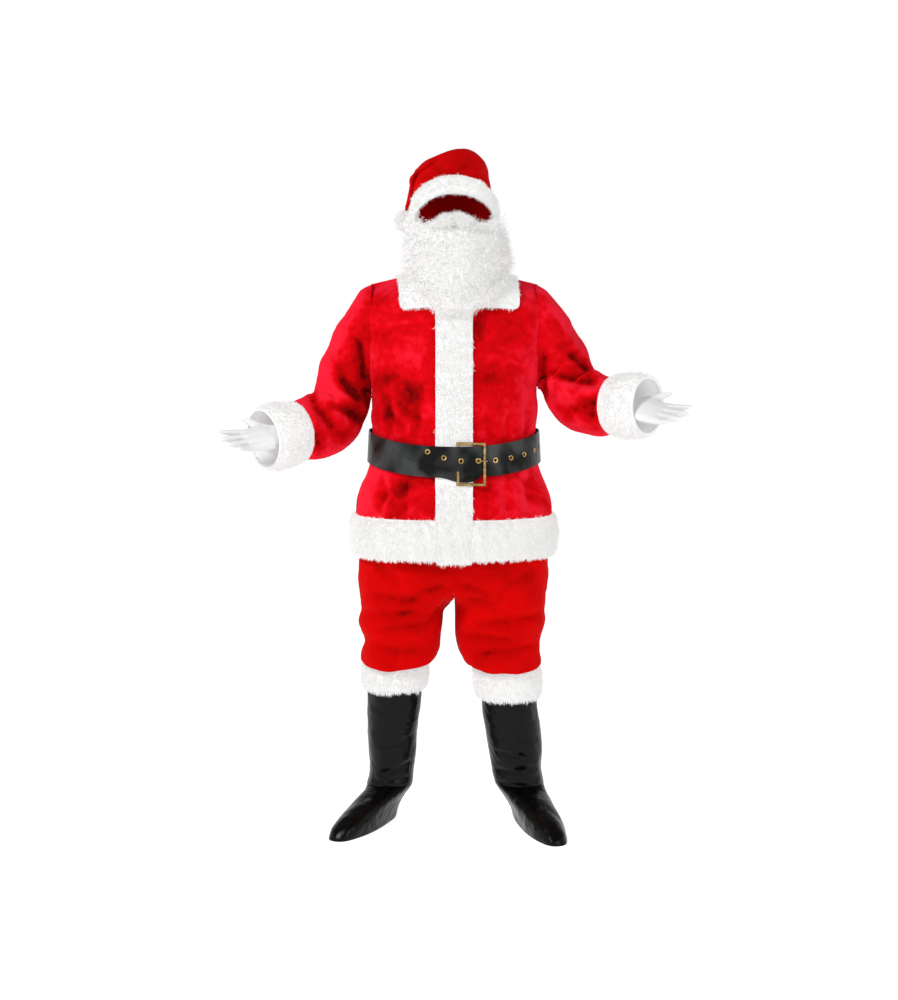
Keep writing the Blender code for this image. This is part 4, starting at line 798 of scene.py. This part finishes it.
under_trees = [node_tree(node) for node in ("plastron", "jacket_front_right", "jacket_front_left")]
flap_points = []
for x, low_z in zip(FLAP_X, FLAP_LOWS):
    low = depth_under(x, low_z + FLAP_INSET)
    high = depth_under(x, FLAP_HIGH - FLAP_INSET)
    for share in (0.0, 0.5, 1.0):
        depth = low + (high - low) * share - FLAP_OUT
        flap_points.append((x, depth, low_z + (FLAP_HIGH - low_z) * share + FLOOR_Z))
flap_faces = [(3 * i + j, 3 * i + j + 3, 3 * i + j + 4, 3 * i + j + 1)
              for i in range(len(FLAP_X) - 1) for j in (0, 1)]
flap_mesh = bpy.data.meshes.new("belt_flap")
flap_mesh.from_pydata(flap_points, [], flap_faces)
flap = add_piece("belt_flap_leather", flap_mesh, belt_leather)
leather_wall = flap.modifiers.new("thickness", "SOLIDIFY")
leather_wall.thickness = FLAP_THICK
leather_wall.offset = -1.0
print("flap depths", [round(point[1], 4) for point in flap_points[::3]])

# %% [markdown]
# Eyelets are brass rings pressed into the strap. The frame's rings have ten sides, and smoothing makes them
# round. Frame and prong of the buckle are cast flat with straight edges, so they stay as they are.

# %% Eyelets and buckle
EYELET_NODES = [f"eyelet_{i}" for i in range(1, 10)]
for node in EYELET_NODES:
    ring = fine(node_mesh(node), node, 1)
    add_piece(node + "_ring", ring, brass, node)
for node in ("buckle_frame", "buckle_prong"):
    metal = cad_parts[node].data.copy()
    add_piece(node + "_brass", metal, brass, node)
print("brass pieces", len(EYELET_NODES) + 2)

# %% [markdown]
# Trim fur is a knitted backing with a pile that stands out of it for a centimetre. The frame's solid reaches
# as far as the pile does, so its outer face first sinks. Then thousands of fibres grow from it. This helper
# finds their places: it picks random faces, larger ones more often, and a random place on each.

# %% Places for fibres
def sampled(mesh, count, rng, marked):
    """Random places spread evenly over a mesh's faces, with their normals and the room for fibres there.

    With marked, the wall's inner faces get none.
    """
    mesh.calc_loop_triangles()
    points = points_of(mesh)
    total = len(mesh.loop_triangles)
    corners = np.empty(total * 3, dtype=np.int32)
    mesh.loop_triangles.foreach_get("vertices", corners)
    owner = np.empty(total, dtype=np.int32)
    mesh.loop_triangles.foreach_get("polygon_index", owner)
    mark = np.empty(len(mesh.polygons), dtype=np.int32)
    mesh.polygons.foreach_get("material_index", mark)
    corners = corners.reshape(-1, 3)
    if marked:
        corners = corners[mark[owner] != CUT_MARK]
    a, b, c = points[corners[:, 0]], points[corners[:, 1]], points[corners[:, 2]]
    area = np.linalg.norm(np.cross(b - a, c - a), axis=1) / 2
    chosen = rng.choice(len(corners), size=count, p=area / area.sum())
    u, v = rng.random(count), rng.random(count)
    over = u + v > 1
    u, v = np.where(over, 1 - u, u)[:, None], np.where(over, 1 - v, v)[:, None]
    a, b, c = a[chosen], b[chosen], c[chosen]
    normals = points_of(mesh, "normal")[corners[chosen]]
    normal = unit(normals[:, 0] * (1 - u - v) + normals[:, 1] * u + normals[:, 2] * v)
    room = np.ones(len(points), dtype=np.float32)
    if "room" in mesh.attributes:
        mesh.attributes["room"].data.foreach_get("value", room)
    return a + (b - a) * u + (c - a) * v, normal, room[corners[chosen][:, 0]], area.sum()


# %% [markdown]
# A fibre is a flat ribbon that narrows to a point. It starts outwards, tilts its own way and falls more at
# each step. Combed fur leans down, as a hanging trim's pile does, and curl turns a beard's hair as it grows.

# %% Fibres as ribbons
TAPER = 0.55


def blades(roots, normals, room, length, width, lean, droop, rng, curl, steps, combed):
    """Tapered ribbons that grow from their roots; curl turns each one round as it rises."""
    count = len(roots)
    side_way = unit(np.cross(normals, unit(rng.normal(size=(count, 3)))))
    lean_way = np.cross(normals, side_way)
    size = (length * room * rng.uniform(0.65, 1.15, count))[:, None]
    rise = normals * (1 - 0.4 * lean) + lean_way * lean * (1 - combed) * rng.uniform(-1, 1, (count, 1))
    rise += side_way * lean * (1 - combed) * rng.uniform(-1, 1, (count, 1))
    down = np.array([0.0, 0.0, -1.0])
    rise = unit(rise + unit(down - normals * (normals @ down)[:, None]) * lean * combed)
    turn_way = unit(np.cross(rise, unit(rng.normal(size=(count, 3)))))
    rows = [roots]
    heading = rise
    for i in range(steps):
        heading = unit(heading + np.array([0.0, 0.0, -droop]) / steps + turn_way * curl / steps)
        turn_way = unit(np.cross(np.cross(heading, turn_way), heading) - rise * curl * 0.5 / steps)
        rows.append(rows[-1] + heading * size / steps)
    across = unit(np.cross(rise, lean_way + 1e-6)) * width / 2
    points = []
    for i, row in enumerate(rows[:-1]):
        taper = 1 - TAPER * i / steps
        points += [row - across * taper, row + across * taper]
    points.append(rows[-1])
    verts = np.stack(points, axis=1)
    per = verts.shape[1]
    pattern = []
    for i in range(steps - 1):
        k = 2 * i
        pattern += [(k, k + 1, k + 3), (k, k + 3, k + 2)]
    pattern.append((per - 3, per - 2, per - 1))
    tris = np.arange(count)[:, None, None] * per + np.array(pattern)[None]
    return verts.reshape(-1, 3), tris.reshape(-1, 3)


def triangle_mesh(name, verts, tris):
    mesh = bpy.data.meshes.new(name)
    mesh.vertices.add(len(verts))
    mesh.vertices.foreach_set("co", verts.ravel())
    mesh.loops.add(len(tris) * 3)
    mesh.loops.foreach_set("vertex_index", tris.ravel().astype(np.int32))
    mesh.polygons.add(len(tris))
    mesh.polygons.foreach_set("loop_start", np.arange(0, len(tris) * 3, 3, dtype=np.int32))
    mesh.update(calc_edges=True)
    return mesh


RAGGED = 0.30
RAGGED_WAVE = 0.016


def pile(name, base, count, length, width, lean, droop, material, seed, curl=0.0, steps=2, marked=True,
         combed=0.0):
    """A mesh of fibres that grow on a base, uneven in length from place to place."""
    rng = np.random.default_rng(seed)
    roots, normals, room, area = sampled(base, count, rng, marked)
    room = room * (1 + unevenness(roots, RAGGED, RAGGED_WAVE, seed + 7))
    verts, tris = blades(roots, normals, room, length, width, lean, droop, rng, curl, steps, combed)
    mesh = triangle_mesh(name, verts, tris)
    piece = add_piece(name, mesh, material)
    print(name, "fibres", count, "triangles", len(tris), "base area", round(float(area), 3))
    return piece


# %% [markdown]
# The backing is the frame's own solid, with its outer face sunk and its edge drawn in, so that fibres and not
# a smooth rim make the outline. Where the solid is thin, fibres are shorter, or they would stand out of it.

# %% Backings of the trims
EDGE_REACH = 0.011
FULL_ROOM = 1.8
LEAST_ROOM = 0.15
ROOM_SHARE = 0.9
EDGE_IN = 0.7
BACKING_LEVELS = 2


def sunk_base(node, depth, seed, lies_on=None):
    """The fur's backing: the node's solid with its outer face sunk by the given depth."""
    bm = node_mesh(node)
    mark_wall(bm, lies_on)
    base = fine(bm, node, BACKING_LEVELS)
    mark = np.empty(len(base.polygons), dtype=np.int32)
    base.polygons.foreach_get("material_index", mark)
    inner = np.zeros(len(base.vertices), dtype=bool)
    for polygon in base.polygons:
        if mark[polygon.index] == CUT_MARK:
            inner[list(polygon.vertices)] = True
    points, normals = points_of(base), points_of(base, "normal")
    inner_faces = [list(polygon.vertices) for polygon in base.polygons
                   if mark[polygon.index] == CUT_MARK]
    inner_tree = BVHTree.FromPolygons([tuple(point) for point in points], inner_faces)
    thick = np.array([inner_tree.find_nearest(Vector(point))[3] for point in points])
    room = np.clip(thick / (depth * FULL_ROOM), LEAST_ROOM, 1.0)
    near = KDTree(len(points))
    for i, point in enumerate(points):
        near.insert(point, i)
    near.balance()
    free = np.array([max(room[i] for _, i, _ in near.find_range(Vector(point), EDGE_REACH))
                     for point in points])
    lumps = unevenness(points, 0.0008, 0.03, seed)
    moved = normals * np.where(inner, 0.0, (lumps - depth) * room)[:, None]
    edgewise = np.zeros_like(points)
    for polygon in base.polygons:
        if mark[polygon.index] != CUT_MARK:
            for vertex in polygon.vertices:
                if inner[vertex]:
                    edgewise[vertex] += polygon.normal
    on_edge = inner & (np.abs(edgewise).sum(axis=1) > 0)
    moved -= unit(edgewise) * on_edge[:, None] * depth * EDGE_IN
    stored = base.attributes.new("room", "FLOAT", "POINT").data
    stored.foreach_set("value", (free * ROOM_SHARE).astype(np.float32))
    set_points(base, points + moved)
    return base


def cloth_tree(*names):
    bm = bmesh.new()
    for node in nodes_of(*names):
        bm.from_mesh(node.data)
    tree = BVHTree.FromBMesh(bm)
    bm.free()
    return tree


# %% [markdown]
# Ten trims carry the same fur. Each row says how far a backing sinks, how many fibres it has and how much
# they droop. Front band and collar lie flat on the jacket, so they are told which side is below.

# %% Fur trims
jacket_tree = cloth_tree("jacket_front_right", "jacket_front_left", "jacket_back", "sleeve_right",
                         "sleeve_left")
FurTrim = namedtuple("FurTrim", "node sink fibres droop lies_on", defaults=(None,))
FUR_TRIMS = [
    FurTrim("hem_fur_front_right", 0.0055, 11000, 0.5),
    FurTrim("hem_fur_front_left", 0.0055, 11000, 0.5),
    FurTrim("hem_fur_back", 0.0055, 20000, 0.5),
    FurTrim("plastron", 0.0050, 16000, 0.4, jacket_tree),
    FurTrim("collar", 0.0050, 20000, 0.4, jacket_tree),
    FurTrim("cuff_fur_right", 0.0055, 13000, 0.3),
    FurTrim("cuff_fur_left", 0.0055, 13000, 0.3),
    FurTrim("trouser_band_right", 0.0050, 12000, 0.5),
    FurTrim("trouser_band_left", 0.0050, 12000, 0.5),
    FurTrim("hat_band", 0.0055, 14000, 0.2),
]
FUR_LENGTH = 0.0110
FUR_WIDTH = 0.0014
FUR_LEAN = 0.6
FUR_COMBED = 0.55
for number, trim in enumerate(FUR_TRIMS):
    base = sunk_base(trim.node, trim.sink, 70 + number, trim.lies_on)
    pile(trim.node + "_pile", base, trim.fibres, FUR_LENGTH, FUR_WIDTH, FUR_LEAN,
                                trim.droop, white_fur, 80 + number, combed=FUR_COMBED)
    add_piece(trim.node + "_backing", base, white_fur, trim.node)

# %% [markdown]
# A pompom is a ball of cut yarn with no backing to see, so its fibres stand out all round and aren't combed.

# %% Pompom
BALL_SINK = 0.005
ball = fine(node_mesh("pompom"), "pompom", 1)
points, normals = points_of(ball), points_of(ball, "normal")
set_points(ball, points - normals * BALL_SINK)
pile("pompom_pile", ball, 5000, 0.009, 0.0016, 0.9, 0.2, white_fur, 95, marked=False)
add_piece("pompom_ball", ball, white_fur, "pompom")

# %% [markdown]
# A costume beard is crimped synthetic hair on a backing: it bushes out in soft clumps and single hairs curl
# away from it. The mass is the frame's, with lumps raised on it, and the hairs are narrow curled ribbons.

# %% Beard and moustache
def lumpy(node, sink, lump, wave, seed, levels):
    base = fine(node_mesh(node), node, levels)
    points, normals = points_of(base), points_of(base, "normal")
    heaps = np.abs(unevenness(points, 1.0, wave, seed))
    moved = -sink + lump * (heaps - 0.6)
    front = smooth_step(0.5 - normals[:, 1] * 1.5)
    set_points(base, points + normals * (moved * front)[:, None])
    return base


base = lumpy("beard", 0.004, 0.0035, 0.035, 101, 2)
pile("beard_curls", base, 20000, 0.026, 0.0013, 0.95, 0.8, beard_hair, 103, curl=2.4,
     steps=4, marked=False)
add_piece("beard_mass", base, beard_hair, "beard")
base = lumpy("moustache", 0.003, 0.002, 0.025, 105, 2)
pile("moustache_curls", base, 5000, 0.016, 0.0011, 0.9, 0.5, beard_hair, 107, curl=1.6,
     steps=4, marked=False)
add_piece("moustache_mass", base, beard_hair, "moustache")

# %% [markdown]
# Cloth has a flat size before it is sewn. A tube counts all the way round, and a shaped panel has less area
# than the rectangle it is cut from. These rows say how large each cut is and what the piece lies on.

# %% How each cloth was cut
Cut = namedtuple("Cut", "piece width length area rests_on held", defaults=((), "draped"))
FRONTS = ("jacket_front_right_plush", "jacket_front_left_plush")
JACKET = FRONTS + ("jacket_back_plush",)
CUTS = [
    Cut("jacket_front_right_plush", 0.33, 0.68, 0.196),
    Cut("jacket_front_left_plush", 0.33, 0.68, 0.196),
    Cut("jacket_back_plush", 0.64, 0.7, 0.375),
    Cut("sleeve_right_plush", 0.56, 0.52, 0.21, JACKET),
    Cut("sleeve_left_plush", 0.56, 0.46, 0.187, JACKET),
    Cut("trouser_right_front_plush", 0.42, 0.64, 0.205, ("waistband_plush",)),
    Cut("trouser_left_front_plush", 0.42, 0.64, 0.207, ("waistband_plush",)),
    Cut("trouser_right_back_plush", 0.4, 0.64, 0.195, ("waistband_plush",)),
    Cut("trouser_left_back_plush", 0.4, 0.64, 0.198, ("waistband_plush",)),
    Cut("waistband_plush", 1.16, 0.042, 0.048, held="gathered"),
    Cut("hat_crown_plush", 0.66, 0.34, 0.132, ("hat_band_backing",), held="folded"),
    Cut("hat_band_backing", 0.73, 0.068, 0.049),
    Cut("hem_fur_front_right_backing", 0.34, 0.115, 0.0385, FRONTS[:1], held="hung"),
    Cut("hem_fur_front_left_backing", 0.34, 0.115, 0.0385, FRONTS[1:], held="hung"),
    Cut("hem_fur_back_backing", 0.72, 0.114, 0.081, ("jacket_back_plush",), held="hung"),
    Cut("plastron_backing", 0.1, 0.69, 0.068, FRONTS, held="laid"),
    Cut("collar_backing", 0.6, 0.2, 0.088, JACKET, held="laid"),
    Cut("cuff_fur_right_backing", 0.57, 0.103, 0.058, ("sleeve_right_plush",)),
    Cut("cuff_fur_left_backing", 0.56, 0.103, 0.0565, ("sleeve_left_plush",)),
    Cut("trouser_band_right_backing", 0.54, 0.082, 0.0435, ("boot_shaft_right_vinyl",)),
    Cut("trouser_band_left_backing", 0.54, 0.104, 0.055, ("boot_shaft_left_vinyl",)),
    Cut("boot_shaft_right_vinyl", 0.46, 0.315, 0.139, ("boot_foot_right_vinyl",)),
    Cut("boot_shaft_left_vinyl", 0.48, 0.315, 0.145, ("boot_foot_left_vinyl",)),
    Cut("boot_foot_right_vinyl", 0.36, 0.28, 0.0715),
    Cut("boot_foot_left_vinyl", 0.38, 0.29, 0.0775),
    Cut("glove_right_cotton", 0.25, 0.23, 0.043, held="stretched"),
    Cut("glove_left_cotton", 0.25, 0.23, 0.043, held="stretched"),
]
for cut in CUTS:
    trim = cut.piece.removesuffix("_backing")
print("cloths declared", len(CUTS))

# %% [markdown]
# A product photo has an even white background. The room is white all round at eye level, and the paper
# floor glows a little, so that it meets the room without a line.

# %% Paper floor
FLOOR_HALF = 60.0
PAPER_GLOW = 0.76
floor_mesh = bpy.data.meshes.new("studio_floor")
corners = [(x * FLOOR_HALF, y * FLOOR_HALF, FLOOR_Z) for x, y in ((-1, -1), (1, -1), (1, 1), (-1, 1))]
floor_mesh.from_pydata(corners, [], [(0, 1, 2, 3)])
studio_floor = bpy.data.objects.new("studio_floor", floor_mesh)
paper = new_material("studio_paper", 1.0, (0.80, 0.80, 0.80), specular=0.0)
paper_shader = paper.node_tree.nodes["Principled BSDF"]
paper_shader.inputs["Emission Color"].default_value = (1.0, 1.0, 1.0, 1.0)
paper_shader.inputs["Emission Strength"].default_value = PAPER_GLOW
floor_mesh.materials.append(paper)
bpy.context.collection.objects.link(studio_floor)
print("paper floor", 2 * FLOOR_HALF, "m wide")

# %% [markdown]
# The room's light comes from the world. Its generated coordinate runs from below to above, and a ramp on its
# height turns white at eye level into dim grey overhead, so that the folds get some shade.

# %% Room light
world = bpy.data.worlds.new("studio")
world.use_nodes = True
world_nodes, world_links = world.node_tree.nodes, world.node_tree.links
way = world_nodes.new("ShaderNodeTexCoord")
parts = world_nodes.new("ShaderNodeSeparateXYZ")
sky = world_nodes.new("ShaderNodeValToRGB")
world_links.new(way.outputs["Generated"], parts.inputs[0])
world_links.new(parts.outputs["Z"], sky.inputs["Fac"])
world_links.new(sky.outputs["Color"], world_nodes["Background"].inputs["Color"])
for element, (height, grey) in zip(sky.color_ramp.elements, ((0.36, 1.0), (0.60, 0.16))):
    element.position = height
    element.color = (grey, grey, grey, 1.0)
bpy.context.scene.world = world
print("room light", world.name)

# %% [markdown]
# The key lamp stands high on the left and gives the folds their shade. The fill on the right is larger,
# lower and much weaker, so the shaded side keeps its colour.

# %% Lamps
Lamp = namedtuple("Lamp", "name place size power")
LAMPS = (Lamp("key", (-1.9, -2.4, 1.7), 0.9, 92.0), Lamp("fill", (2.4, -2.6, 0.8), 1.6, 30.0))
AIM = Vector((0, 0, -0.5))
for lamp in LAMPS:
    light = bpy.data.lights.new(lamp.name, "AREA")
    light.size = lamp.size
    light.energy = lamp.power
    stand = bpy.data.objects.new(lamp.name, light)
    stand.location = lamp.place
    stand.rotation_euler = (AIM - stand.location).to_track_quat("-Z", "Y").to_euler()
    bpy.context.collection.objects.link(stand)
    print(lamp.name, "lamp", lamp.power, "W")

# %% [markdown]
# The camera stands 4.6 m in front of the suit at chest height and looks slightly down. The standard view
# transform keeps white paper white, where a filmic one would grey it.

# %% Camera
LENS_MM = 61.3
LOOK_DOWN = 5.8
lens = bpy.data.cameras.new("view")
lens.lens = LENS_MM
camera = bpy.data.objects.new("view", lens)
camera.location = (-0.0135, -4.6, -0.13)
camera.rotation_euler = (math.radians(90 - LOOK_DOWN), 0.0, 0.0)
bpy.context.collection.objects.link(camera)
bpy.context.scene.camera = camera
bpy.context.scene.view_settings.view_transform = "Standard"
print("camera at", tuple(camera.location))
